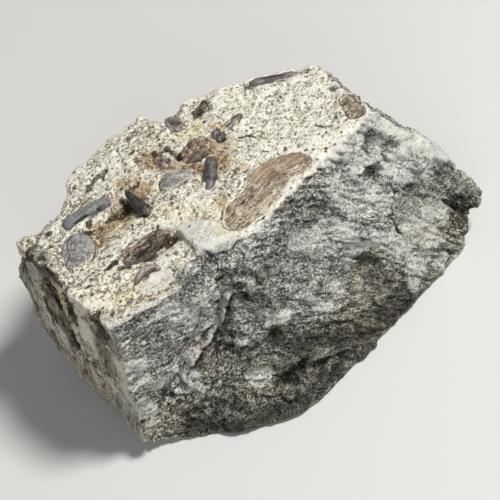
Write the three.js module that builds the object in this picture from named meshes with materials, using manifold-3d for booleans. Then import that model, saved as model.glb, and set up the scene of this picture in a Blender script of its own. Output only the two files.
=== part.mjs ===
// Fossil fish bone block: a broken block of bone bed with fossils set in its top and left end.
// Millimetres, +Z up. The origin is under the middle of the block, on the surface that it rests on.
// +X runs along the block, -Y is the grey broken front, and the cream bedding face is on top.
import * as THREE from 'three';
import { mergeVertices } from 'three/addons/utils/BufferGeometryUtils.js';
import Module from 'manifold-3d';

const wasm = await Module();
wasm.setup();

// Driving dimensions
const blockLength = 80;
const blockWidth = 48;
const blockHeight = 42;
const setGap = 0.3;          // clearance between a fossil and the stone around it
const roughness = 0.45;      // height of the coarse break in the stone
const roughSize = 6;         // width of the coarsest lumps
const stoneDetail = 13;        // subdivision of the stone's surface
const heart = new THREE.Vector3(0, 0, 20);   // a point well inside the block

// The main faces that the block broke along: a point on each, and the way it faces
const faces = {
  beddingTop: [[0, 0, 40.7], [-0.035, 0, 1]],
  restingFace: [[0, 0, -0.8], [0, 0, -1]],
  leftEnd: [[-38.8, 5, 20], [-1, 0.02, 0.03]],
  leftUnder: [[-39.2, 5, 3.4], [-0.5, 0, -1]],
  backLeft: [[-38, 19, 39.4], [-0.27, 0.92, 0.28]],
  backMiddle: [[-10, 23.4, 24], [0.02, 1, 0.01]],
  backRight: [[10.6, 16.4, 41], [0.45, 0.85, 0.3]],
  backCorner: [[20.6, 10.9, 41], [0.64, 0.72, 0.27]],
  backUnder: [[0, 24, 7.6], [0, 0.85, -0.5]],
  rightRim: [[24.4, -3, 41.6], [0.9, -0.07, 0.43]],
  rightEnd: [[40.2, 0, 12], [1, 0, 0]],
  rightUnder: [[40.2, -14, 10.6], [0.8, 0, -0.6]],
  frontMain: [[4, -12, 41], [0.11, -0.96, 0.26]],
  frontUnder: [[-2, -24.3, 1.5], [0.1, -0.8, -0.6]],
  frontRight: [[27, -22, 1], [0.35, -0.8, -0.45]],
};

// Flakes broken off: each is the stone that lies outside all of its planes
const flakes = {
  frontChip: [[[-37.5, -9.5, 39.3], [-0.246, -0.969, -0.007]], [[-15.4, -14.8, 32], [-0.8, 0, 0.6]]],
  frontFoot: [[[-38.3, -8.2, 5.2], [-0.46, -0.85, 0.22]], [[-17.8, -14.8, 33.8], [0.8, 0, -0.6]]],
  rightSlope: [[[27.2, -10.2, 41.9], [0.86, 0.25, 0.4]], [[0, 0, 37.5], [0, 0, -1]]],
};

// Soft swellings and hollows: centre, half sizes along, across and out, directions along and out, height
const grain = [0.84, 0, -0.54];
const front = [0.11, -0.96, 0.26];
const up = [0, 0, 1];
const swells = {
  underCrest: [[2, -13.8, 35.5], [5, 3.5, 6], grain, front, -1.6],
  middleBulge: [[9, -16, 24.5], [9, 4.5, 6], grain, front, 1.5],
  trough: [[10, -18, 16.5], [8.5, 2.2, 6], [0.58, -0.1, -0.81], front, -1.5],
  lowerGroove: [[-11.5, -22.3, 9.6], [7.5, 1.4, 6], grain, front, -1.5],
  ledgeGroove: [[-4, -20, 14.5], [10, 2, 6], grain, front, -1.5],
  rightBulge: [[27, -16.8, 14], [6.5, 5.5, 6], up, front, 2.4],
  rightShoulder: [[35.5, -13.5, 24], [9, 6, 6], [0.4, 0, -0.9], [0.86, 0.2, 0.4], 2.2],
  knob: [[38.5, -16.5, 11.5], [4, 3.5, 5], up, [0.6, -0.8, 0.1], 2],
  recess: [[-21, -18, 24.5], [10, 4.5, 7], [0.4, -0.16, 0.86], [-0.35, -0.92, 0.15], -2.4],
  upperRib: [[20.5, -12.3, 33], [5, 1.8, 5], [1, 0, -0.55], front, 1],
  upperHollow: [[22.4, -11.8, 37], [3.6, 2.4, 3.4], [0.6, 0, -0.8], front, -1.9],
  lowerHollow: [[19.6, -13.8, 29.8], [3.8, 2.4, 3.2], [0.9, 0, 0.3], front, -1.9],
  vug: [[34.3, -18, 10], [4.4, 2.2, 3.6], [0.1, 0, 1], front, -2.2],
  dome: [[-11, 19, 40.4], [9, 7, 5], [1, 0.2, 0], up, 1.2],
  rustyTrough: [[-23, 9, 40], [8, 2.6, 5], [1, 0.15, 0], up, -2.2],
  boneTrough: [[-21.5, -1, 40], [5.5, 2.2, 5], [1, -0.1, 0], up, -2.6],
  leftLow: [[-27, -8, 39.8], [9, 4, 5], [1, 0, 0], up, -1],
  leftSwell: [[-39, 20, 26], [12, 8, 8], up, [-1, 0.1, 0], 0.4],
  foot: [[-38, -8, 4], [4, 4, 5], up, [-0.7, -0.7, -0.2], 0.5],
};

// Scooped bites: centre, half sizes along, across and out, directions along and out, softness of the rim
const bites = {
  backNotch: [[-0.6, 23, 41.6], [3.4, 4.6, 4], [1, 0, 0], up, 1.2],
  leftScoop: [[-31.5, 24.2, 42], [8, 6.6, 8], [1, 0, 0], up, 1.5],
  crestBite: [[-17.5, -16.5, 41.5], [8.5, 7.5, 6.5], [1, 0, 0], up, 0.8],
};

// --- the stone as a distance: below zero inside, above zero outside ---

const vector = (list) => new THREE.Vector3(...list);

function smoothMax(a, b, width) {
  const t = THREE.MathUtils.clamp(0.5 + 0.5 * (a - b) / width, 0, 1);
  return b * (1 - t) + a * t + width * t * (1 - t);
}

const smoothMin = (a, b, width) => -smoothMax(-a, -b, width);

/** Three unit directions: along, across and out. */
function axesOf(along, out) {
  const o = vector(out).normalize();
  const a = vector(along);
  a.addScaledVector(o, -a.dot(o)).normalize();
  return [a, new THREE.Vector3().crossVectors(o, a), o];
}

const planeOf = ([through, facing]) =>
  new THREE.Plane().setFromNormalAndCoplanarPoint(vector(facing).normalize(), vector(through));

const facePlanes = Object.values(faces).map(planeOf);
const flakePlanes = Object.values(flakes).map((planes) => planes.map(planeOf));
const swellForms = Object.values(swells).map(([centre, size, along, out, height]) =>
  ({ centre: vector(centre), size, axes: axesOf(along, out), height }));
const biteForms = Object.values(bites).map(([centre, size, along, out, softness]) =>
  ({ centre: vector(centre), size, axes: axesOf(along, out), softness }));

const offset = new THREE.Vector3();

/** The point's place in a form's own axes, in units of its half sizes. */
function placeIn(form, point) {
  offset.subVectors(point, form.centre);
  return form.axes.map((axis, i) => offset.dot(axis) / form.size[i]);
}

function swellHeight(form, point) {
  const [a, b, c] = placeIn(form, point);
  return form.height * Math.exp(-(a * a + b * b + c * c));
}

function biteDistance(form, point) {
  const [a, b, c] = placeIn(form, point);
  const reach = Math.hypot(a, b, c);
  const slope = Math.hypot(a / form.size[0], b / form.size[1], c / form.size[2]);
  return reach * (reach - 1) / Math.max(slope, 1e-6);
}

/** A repeatable value from -1 to 1 for each corner of a grid. */
function cornerValue(x, y, z, seed) {
  let h = Math.imul(x, 374761393) + Math.imul(y, 668265263) + Math.imul(z, 2246822519);
  h = (h + Math.imul(seed, 3266489917)) | 0;
  h = Math.imul(h ^ (h >>> 15), 2246822519);
  h = Math.imul(h ^ (h >>> 13), 3266489917);
  h ^= h >>> 16;
  return (h >>> 0) / 2147483648 - 1;
}

function valueNoise(x, y, z, seed) {
  const [i, j, k] = [Math.floor(x), Math.floor(y), Math.floor(z)];
  const ease = (t) => t * t * t * (t * (t * 6 - 15) + 10);
  const [u, v, w] = [ease(x - i), ease(y - j), ease(z - k)];
  let total = 0;
  for (const [dx, wx] of [[0, 1 - u], [1, u]]) {
    for (const [dy, wy] of [[0, 1 - v], [1, v]]) {
      for (const [dz, wz] of [[0, 1 - w], [1, w]]) {
        total += wx * wy * wz * cornerValue(i + dx, j + dy, k + dz, seed);
      }
    }
  }
  return total;
}

/** Several layers of noise, each half as wide and half as high as the last. */
function layeredNoise(point, size, layers, seed) {
  let total = 0;
  for (let layer = 0; layer < layers; layer += 1) {
    const fine = 2 ** layer;
    const s = fine / size;
    total += valueNoise(point.x * s, point.y * s, point.z * s, seed + layer) / fine;
  }
  return total;
}

const grainAxis = vector(grain).normalize();
const drawn = new THREE.Vector3();

function stoneDistance(point) {
  let d = -Infinity;
  for (const plane of facePlanes) {
    const e = plane.distanceToPoint(point);
    d = d === -Infinity ? e : smoothMax(d, e, 1.2);
  }
  for (const planes of flakePlanes) {
    const outside = planes.map((plane) => plane.distanceToPoint(point));
    d = smoothMax(d, outside.reduce((a, b) => smoothMin(a, b, 0.6)), 0.6);
  }
  for (const form of swellForms) {
    d -= swellHeight(form, point);
  }
  for (const form of biteForms) {
    d = smoothMax(d, -biteDistance(form, point), form.softness);
  }
  // the break is drawn out along the grain, and fades towards the flat resting face
  drawn.copy(point).addScaledVector(grainAxis, -0.6 * point.dot(grainAxis));
  const fade = THREE.MathUtils.smoothstep(point.z, 0, 3);
  return d - roughness * fade * layeredNoise(drawn, roughSize, 4, 1);
}

/** The first place outside the stone on the way from start along a direction. */
function surfaceFrom(start, direction) {
  const point = new THREE.Vector3();
  let inside = 0;
  let outside = 80;
  for (let i = 0; i < 26; i += 1) {
    const middle = (inside + outside) / 2;
    point.copy(start).addScaledVector(direction, middle);
    if (stoneDistance(point) < 0) {
      inside = middle;
    } else {
      outside = middle;
    }
  }
  return point.copy(start).addScaledVector(direction, inside);
}

// --- meshes and booleans ---

function positionsOnly(geometry) {
  const bare = geometry.clone();
  bare.deleteAttribute('normal');
  bare.deleteAttribute('uv');
  return mergeVertices(bare, 1e-4);
}

function toSolid(geometry) {
  const merged = positionsOnly(geometry);
  return new wasm.Manifold(new wasm.Mesh({
    numProp: 3,
    vertProperties: new Float32Array(merged.attributes.position.array),
    triVerts: new Uint32Array(merged.index.array),
  }));
}

function toGeometry(solid) {
  const mesh = solid.getMesh();
  const geometry = new THREE.BufferGeometry();
  geometry.setAttribute('position', new THREE.BufferAttribute(mesh.vertProperties, 3));
  geometry.setIndex(new THREE.BufferAttribute(mesh.triVerts, 1));
  geometry.computeVertexNormals();
  return geometry;
}

/** The bare block, before it is brought to its exact size. */
function rawBlock() {
  const geometry = positionsOnly(new THREE.IcosahedronGeometry(1, stoneDetail));
  const spots = geometry.attributes.position;
  const direction = new THREE.Vector3();
  for (let i = 0; i < spots.count; i += 1) {
    direction.fromBufferAttribute(spots, i);
    direction.multiply(new THREE.Vector3(blockLength, blockWidth, blockHeight)).normalize();
    const point = surfaceFrom(heart, direction);
    spots.setXYZ(i, point.x, point.y, point.z);
  }
  geometry.computeBoundingBox();
  return geometry;
}

const raw = rawBlock();
const rawSize = raw.boundingBox.getSize(new THREE.Vector3());
const rawCentre = raw.boundingBox.getCenter(new THREE.Vector3());

/** From the raw block to the exact length, width and height, with the resting face at z = 0. */
const fit = new THREE.Matrix4()
  .makeScale(blockLength / rawSize.x, blockWidth / rawSize.y, blockHeight / raw.boundingBox.max.z)
  .multiply(new THREE.Matrix4().makeTranslation(-rawCentre.x, -rawCentre.y, 0));

// --- where fossils sit ---

const down = new THREE.Vector3(0, 0, -1);

/** The height of the top over a place on it. */
function topAt(x, y) {
  const from = new THREE.Vector3(x, y, 30);
  return surfaceFrom(from, down.clone().negate()).applyMatrix4(fit);
}

/** The place on the left end at a height. */
function leftAt(y, z) {
  return surfaceFrom(new THREE.Vector3(-25, y, z), new THREE.Vector3(-1, 0, 0)).applyMatrix4(fit);
}

/** Turns and moves a geometry so that its X runs along and its Z runs out, from a centre. */
function settle(geometry, centre, along, out) {
  const basis = new THREE.Matrix4().makeBasis(...axesOf(along, out));
  return geometry.applyMatrix4(basis.setPosition(centre));
}

// --- fossil shapes; each takes a growth, so that its pocket is the same shape a little larger ---

/** A rounded lump with half sizes, roughened by noise of its own. */
function lump({ size, rough = 0.12, seed = 5, detail = 2 }) {
  return (grow) => {
    const geometry = positionsOnly(new THREE.IcosahedronGeometry(1, detail));
    const spots = geometry.attributes.position;
    const point = new THREE.Vector3();
    for (let i = 0; i < spots.count; i += 1) {
      point.fromBufferAttribute(spots, i);
      const swell = 1 + rough * layeredNoise(point, 0.9, 2, seed);
      spots.setXYZ(
        i,
        point.x * (size[0] * swell + grow),
        point.y * (size[1] * swell + grow),
        point.z * (size[2] * swell + grow),
      );
    }
    return geometry;
  };
}

/** A flat piece with a closed outline in plan, rounded at its edges. */
function plate({ outline, thickness, round }) {
  return (grow) => {
    const shape = new THREE.Shape();
    shape.moveTo(...outline[0]);
    shape.splineThru([...outline.slice(1), outline[0]].map(([x, y]) => new THREE.Vector2(x, y)));
    const geometry = new THREE.ExtrudeGeometry(shape, {
      depth: thickness - 2 * round,
      steps: 1,
      curveSegments: 2,
      bevelThickness: round + grow,
      bevelSize: grow,
      bevelOffset: 0,
      bevelSegments: 1,
    });
    return geometry.translate(0, 0, round - thickness / 2);
  };
}

/** A bar of round section, bent sideways, widest in the middle. */
function bar({ length, width, thickness, bend, taper = 0.15, rings = 8, sides = 8 }) {
  return (grow) => {
    const half = length / 2 + grow;
    const profile = [];
    for (let i = 0; i <= rings; i += 1) {
      const t = -1 + 2 * i / rings;
      const ends = Math.sqrt(Math.max(0, 1 - Math.abs(t) ** 6));
      profile.push(new THREE.Vector2(ends * (1 - taper * t * t), t * half));
    }
    const geometry = positionsOnly(new THREE.LatheGeometry(profile, sides));
    const spots = geometry.attributes.position;
    for (let i = 0; i < spots.count; i += 1) {
      const s = spots.getY(i);
      const sideways = bend * (1 - (s / half) ** 2);
      spots.setXYZ(
        i,
        s,
        -spots.getX(i) * (width / 2 + grow) + sideways,
        spots.getZ(i) * (thickness / 2 + grow),
      );
    }
    return geometry;
  };
}

/** A curved cone with its root on the stone and its point in the air. */
function cone({ length, radius, curve, rings = 6, sides = 12 }) {
  return (grow) => {
    const profile = [new THREE.Vector2(0, -grow)];
    for (let i = 0; i <= rings; i += 1) {
      const t = i / rings;
      const wide = radius * (1 - t ** 1.25) + (i < rings ? grow : 0);
      profile.push(new THREE.Vector2(wide, i === 0 ? -grow : t * (length + grow)));
    }
    const geometry = positionsOnly(new THREE.LatheGeometry(profile, sides));
    const spots = geometry.attributes.position;
    for (let i = 0; i < spots.count; i += 1) {
      const s = spots.getY(i);
      const lift = curve * (s / length) ** 2;
      spots.setXYZ(i, s, -spots.getX(i), spots.getZ(i) + lift);
    }
    return geometry;
  };
}

/** A row of rounded segments that shrink towards both ends. */
function segmented({ length, width, thickness, segments, sides = 10 }) {
  return (grow) => {
    const half = length / 2 + grow;
    const steps = segments * 3;
    const profile = [];
    for (let i = 0; i <= steps; i += 1) {
      const t = -1 + 2 * i / steps;
      const body = Math.sqrt(Math.max(0, 1 - t * t * t * t));
      const ridge = 1 - 0.2 * Math.cos(Math.PI * segments * (t + 1) / 2) ** 2;
      profile.push(new THREE.Vector2(body * ridge, t * half));
    }
    const geometry = positionsOnly(new THREE.LatheGeometry(profile, sides));
    const spots = geometry.attributes.position;
    for (let i = 0; i < spots.count; i += 1) {
      spots.setXYZ(
        i,
        spots.getY(i),
        -spots.getX(i) * (width / 2 + grow),
        spots.getZ(i) * (thickness / 2 + grow),
      );
    }
    return geometry;
  };
}

// --- the fossils: shape, place, direction, how far the middle is sunk, finish ---

const finishes = {
  stone: { color: '#c9c2ab', roughness: 0.92, metalness: 0 },
  enamel: { color: '#26252a', roughness: 0.25, metalness: 0 },
  greyBone: { color: '#7d8084', roughness: 0.5, metalness: 0 },
  violetBone: { color: '#6f6266', roughness: 0.5, metalness: 0 },
  brownBone: { color: '#5d4737', roughness: 0.65, metalness: 0 },
  darkBone: { color: '#3b3639', roughness: 0.55, metalness: 0 },
  rustNodule: { color: '#9a6538', roughness: 0.75, metalness: 0 },
  coprolite: { color: '#a5835c', roughness: 0.7, metalness: 0 },
};

const fossils = {
  tooth: {
    shape: cone({ length: 6.6, radius: 1.3, curve: 0.6 }),
    at: topAt(-17.5, 5), along: [0.02, 1, 0.2], out: up, sunk: 0, finish: 'enamel',
  },
  bone_bar: {
    shape: bar({ length: 9.4, width: 2.2, thickness: 2, bend: 0.45 }),
    at: topAt(-25.4, 13.7), along: [1, -0.16, 0], out: up, sunk: 0.45, finish: 'greyBone',
  },
  scale_plate: {
    shape: lump({ size: [4, 3.1, 1.3], rough: 0.05 }),
    at: topAt(-31.7, 8.5), along: [0.7, 0.7, 0], out: [-0.1, -0.1, 1], sunk: 0.4, finish: 'violetBone',
  },
  hollow_bone: {
    shape: lump({ size: [5, 1.9, 1.5], seed: 8 }),
    at: topAt(-22.9, 0.6), along: [1, -0.1, 0], out: [0, -0.2, 1], sunk: 0.5, finish: 'brownBone',
  },
  small_bone: {
    shape: bar({ length: 5.6, width: 1.6, thickness: 1.6, bend: 0.5 }),
    at: topAt(-26.4, -5), along: [1, -0.08, 0], out: up, sunk: 0.4, finish: 'violetBone',
  },
  left_bone: {
    shape: lump({ size: [2.3, 1.5, 1.1], seed: 9 }),
    at: leftAt(13.4, 36.6), along: [0, 1, 0.2], out: [-1, 0, 0.2], sunk: 0.4, finish: 'darkBone',
  },
  rib_bone: {
    shape: bar({ length: 20, width: 4, thickness: 2.4, bend: 0.8, taper: 0.3 }),
    at: leftAt(11, 24.5), along: [0, -0.12, -1], out: [-1, 0, 0], sunk: 0.55, finish: 'brownBone',
  },
  notch_bone_left: {
    shape: lump({ size: [2.6, 1.4, 1.2], seed: 11, detail: 1 }),
    at: topAt(-1.9, 16.6), along: [0, 1, 0], out: up, sunk: 0.4, finish: 'violetBone',
  },
  notch_bone_right: {
    shape: lump({ size: [2.1, 1.4, 1.2], seed: 12, detail: 1 }),
    at: topAt(3.5, 15.8), along: [1, 0, 0], out: up, sunk: 0.4, finish: 'brownBone',
  },
  violet_bone: {
    shape: bar({ length: 3.8, width: 1.3, thickness: 1.4, bend: 0.15 }),
    at: topAt(5.8, 8.9), along: [0.97, 0.25, 0], out: up, sunk: 0.35, finish: 'violetBone',
  },
  dark_nodule: {
    shape: lump({ size: [1.4, 1.2, 1.1], rough: 0.2, seed: 13, detail: 1 }),
    at: topAt(1.7, 8.1), along: [0, 1, 0], out: up, sunk: 0.15, finish: 'darkBone',
  },
  rust_nodule: {
    shape: lump({ size: [3.1, 2.3, 1.5], rough: 0.14, seed: 14 }),
    at: topAt(-2.8, 9), along: [1, 0.1, 0], out: up, sunk: 0.3, finish: 'rustNodule',
  },
  segmented_spine: {
    shape: segmented({ length: 8, width: 2.8, thickness: 2.4, segments: 7 }),
    at: topAt(-4.6, 3.3), along: [-0.74, -0.67, 0], out: up, sunk: 0.2, finish: 'darkBone',
  },
  grey_plate: {
    shape: lump({ size: [3.3, 1.9, 1.1], rough: 0.08, seed: 15 }),
    at: topAt(-9.5, 7.2), along: [0.84, -0.4, 0], out: [0.1, 0, 1], sunk: 0.55, finish: 'greyBone',
  },
  pit_bone: {
    shape: lump({ size: [1.8, 1.1, 1], seed: 16, detail: 1 }),
    at: topAt(-9, 12), along: [0, 1, 0], out: up, sunk: 0.5, finish: 'violetBone',
  },
  tan_nodule: {
    shape: lump({ size: [1.8, 0.9, 0.9], seed: 17, detail: 1 }),
    at: topAt(-0.1, -0.7), along: [0.93, -0.37, 0], out: up, sunk: 0.4, finish: 'coprolite',
  },
  rim_bone: {
    shape: bar({ length: 11, width: 2, thickness: 2.2, bend: 0.3 }),
    at: topAt(17.5, 10.9), along: [0.83, -0.56, 0], out: up, sunk: 0.6, finish: 'darkBone',
  },
  large_coprolite: {
    shape: plate({
      outline: [
        [-10.4, -8], [-7.3, -5.3], [-2.6, -4.6], [0, -3.2], [5.8, -4], [9.8, -6.3], [10.3, -9.4],
        [7.9, -10.9], [4.2, -10], [0.3, -11.2], [-6.8, -12.1], [-9.9, -10.6],
      ],
      thickness: 4,
      round: 0.8,
    }),
    at: topAt(0, -7).setX(-0.25).setY(0.3), along: [1, 0, 0], out: [-0.035, -0.06, 1], sunk: 1.75, finish: 'coprolite',
  },
  rim_coprolite: {
    shape: plate({
      outline: [[22.3, -2.8], [20.6, -5.6], [20.4, -8.2], [22.8, -9.4], [24, -7.4], [24, -4.2]],
      thickness: 3,
      round: 0.6,
    }),
    at: topAt(22.3, -6).setX(0).setY(0), along: [1, 0, 0], out: up, sunk: 1.6, finish: 'coprolite',
  },
};

const materials = Object.fromEntries(
  Object.entries(finishes).map(([name, look]) => [name, new THREE.MeshStandardMaterial({ name, ...look })]),
);

function fossilGeometry(fossil, grow) {
  const out = vector(fossil.out).normalize();
  const centre = fossil.at.clone().addScaledVector(out, -fossil.sunk);
  return settle(fossil.shape(grow), centre, fossil.along, fossil.out);
}

/** The block with its flat resting face and one pocket for each fossil. */
function stoneGeometry() {
  const under = new THREE.BoxGeometry(2 * blockLength, 2 * blockWidth, blockHeight);
  under.translate(0, 0, -blockHeight / 2);
  let stone = toSolid(raw.clone().applyMatrix4(fit)).subtract(toSolid(under));
  for (const fossil of Object.values(fossils)) {
    stone = stone.subtract(toSolid(fossilGeometry(fossil, setGap)));
  }
  // a pocket that breaks through an edge can free a crumb, and only the block is kept
  const bodies = stone.decompose().sort((a, b) => b.volume() - a.volume());
  return toGeometry(bodies[0]);
}

const block = new THREE.Group();

function addMesh(name, geometry, finish) {
  const mesh = new THREE.Mesh(geometry, materials[finish]);
  mesh.name = name;
  block.add(mesh);
}

addMesh('matrix', stoneGeometry(), 'stone');
for (const [name, fossil] of Object.entries(fossils)) {
  addMesh(name, toGeometry(toSolid(fossilGeometry(fossil, 0))), fossil.finish);
}

export default block;
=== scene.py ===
import math

import bmesh
import bpy
import numpy as np
from mathutils import Matrix, Vector


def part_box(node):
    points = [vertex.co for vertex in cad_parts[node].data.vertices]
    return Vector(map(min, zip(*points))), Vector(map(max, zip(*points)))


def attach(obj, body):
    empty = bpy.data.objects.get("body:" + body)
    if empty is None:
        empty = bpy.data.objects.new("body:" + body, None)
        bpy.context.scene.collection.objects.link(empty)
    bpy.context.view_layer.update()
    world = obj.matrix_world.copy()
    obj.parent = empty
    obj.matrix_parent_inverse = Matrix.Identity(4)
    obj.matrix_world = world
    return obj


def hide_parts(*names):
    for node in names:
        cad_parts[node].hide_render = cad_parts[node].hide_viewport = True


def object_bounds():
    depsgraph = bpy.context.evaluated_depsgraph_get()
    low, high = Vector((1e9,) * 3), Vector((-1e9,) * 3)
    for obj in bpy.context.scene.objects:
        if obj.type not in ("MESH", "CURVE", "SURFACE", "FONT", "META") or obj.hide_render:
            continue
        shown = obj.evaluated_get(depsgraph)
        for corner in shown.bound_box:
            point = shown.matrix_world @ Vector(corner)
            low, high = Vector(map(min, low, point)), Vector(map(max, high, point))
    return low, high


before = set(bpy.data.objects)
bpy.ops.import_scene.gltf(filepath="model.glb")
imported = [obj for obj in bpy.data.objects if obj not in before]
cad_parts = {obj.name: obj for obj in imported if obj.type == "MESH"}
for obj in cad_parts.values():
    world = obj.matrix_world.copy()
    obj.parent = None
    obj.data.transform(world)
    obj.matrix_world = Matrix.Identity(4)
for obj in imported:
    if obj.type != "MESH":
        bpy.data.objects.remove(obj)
cadBox = [list(corner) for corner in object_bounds()]
mm = 0.001
print("frame loaded,", len(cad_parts), "nodes")

# the view: turned left of the front, from above, with the camera rolled
view = {"azimuth": -26.85, "elevation": 51.27, "roll": 17.4, "distance": 0.4,
        "aim": (-0.0038, -0.0019, 0.021), "lens": 155.5, "sensor": 36.0}


def makeCamera():
    az, el, roll = (math.radians(view[key]) for key in ("azimuth", "elevation", "roll"))
    back = Vector((math.sin(az) * math.cos(el), -math.cos(az) * math.cos(el), math.sin(el)))
    level = Vector((math.cos(az), math.sin(az), 0))
    right = level * math.cos(roll) - back.cross(level) * math.sin(roll)
    data = bpy.data.cameras.new("view")
    data.lens, data.sensor_width = view["lens"], view["sensor"]
    data.clip_start, data.clip_end = 0.01, 10
    cam = bpy.data.objects.new("view", data)
    bpy.context.scene.collection.objects.link(cam)
    turn = Matrix((right, back.cross(right), back)).transposed().to_4x4()
    cam.matrix_world = Matrix.Translation(Vector(view["aim"]) + back * view["distance"]) @ turn
    bpy.context.scene.camera = cam
    return np.array(back)


sightLine = makeCamera()   # from the object to the camera

# noise, with places in mm


def unit(v):
    v = np.asarray(v, float)
    return v / np.linalg.norm(v)


def smoothStep(low, high, x):
    t = np.clip((x - low) / (high - low), 0, 1)
    return t * t * (3 - 2 * t)


def cornerValue(x, y, z, seed):
    # a repeatable value from -1 to 1 for each corner of a grid
    h = x * np.uint32(374761393) + y * np.uint32(668265263) + z * np.uint32(2246822519)
    h = h + np.uint32(seed * 3266489917 & 0xffffffff)
    h = (h ^ (h >> np.uint32(15))) * np.uint32(2246822519)
    h = (h ^ (h >> np.uint32(13))) * np.uint32(3266489917)
    h = h ^ (h >> np.uint32(16))
    return h / 2147483648.0 - 1


def valueNoise(p, seed):
    i = np.floor(p)
    f = p - i
    w = f * f * f * (f * (f * 6 - 15) + 10)
    i = i.astype(np.int64)
    corner = [[((i[:, a] + d) & 0xffffffff).astype(np.uint32) for d in (0, 1)] for a in range(3)]
    weight = [[1 - w[:, a], w[:, a]] for a in range(3)]
    total = np.zeros(len(p))
    for a in (0, 1):
        for b in (0, 1):
            for c in (0, 1):
                value = cornerValue(corner[0][a], corner[1][b], corner[2][c], seed)
                total += value * weight[0][a] * weight[1][b] * weight[2][c]
    return total


def layeredNoise(p, size, layers, seed, fall=0.5, shape=None):
    # each layer has half the size of the one before it, and a lower height
    total, height = np.zeros(len(p)), 1.0
    for layer in range(layers):
        value = valueNoise(p / size, seed + layer)
        total += height * (shape(value) if shape else value)
        size, height = size / 2, height * fall
    return total


def sharpRidge(value):
    return (1 - 2 * np.abs(value)) ** 3


def ridgedNoise(p, size, layers, seed, fall=0.5):
    return layeredNoise(p, size, layers, seed, fall, sharpRidge)


def stretched(p, direction, share):
    a = unit(direction)
    return p - share * np.outer(p @ a, a)


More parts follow.
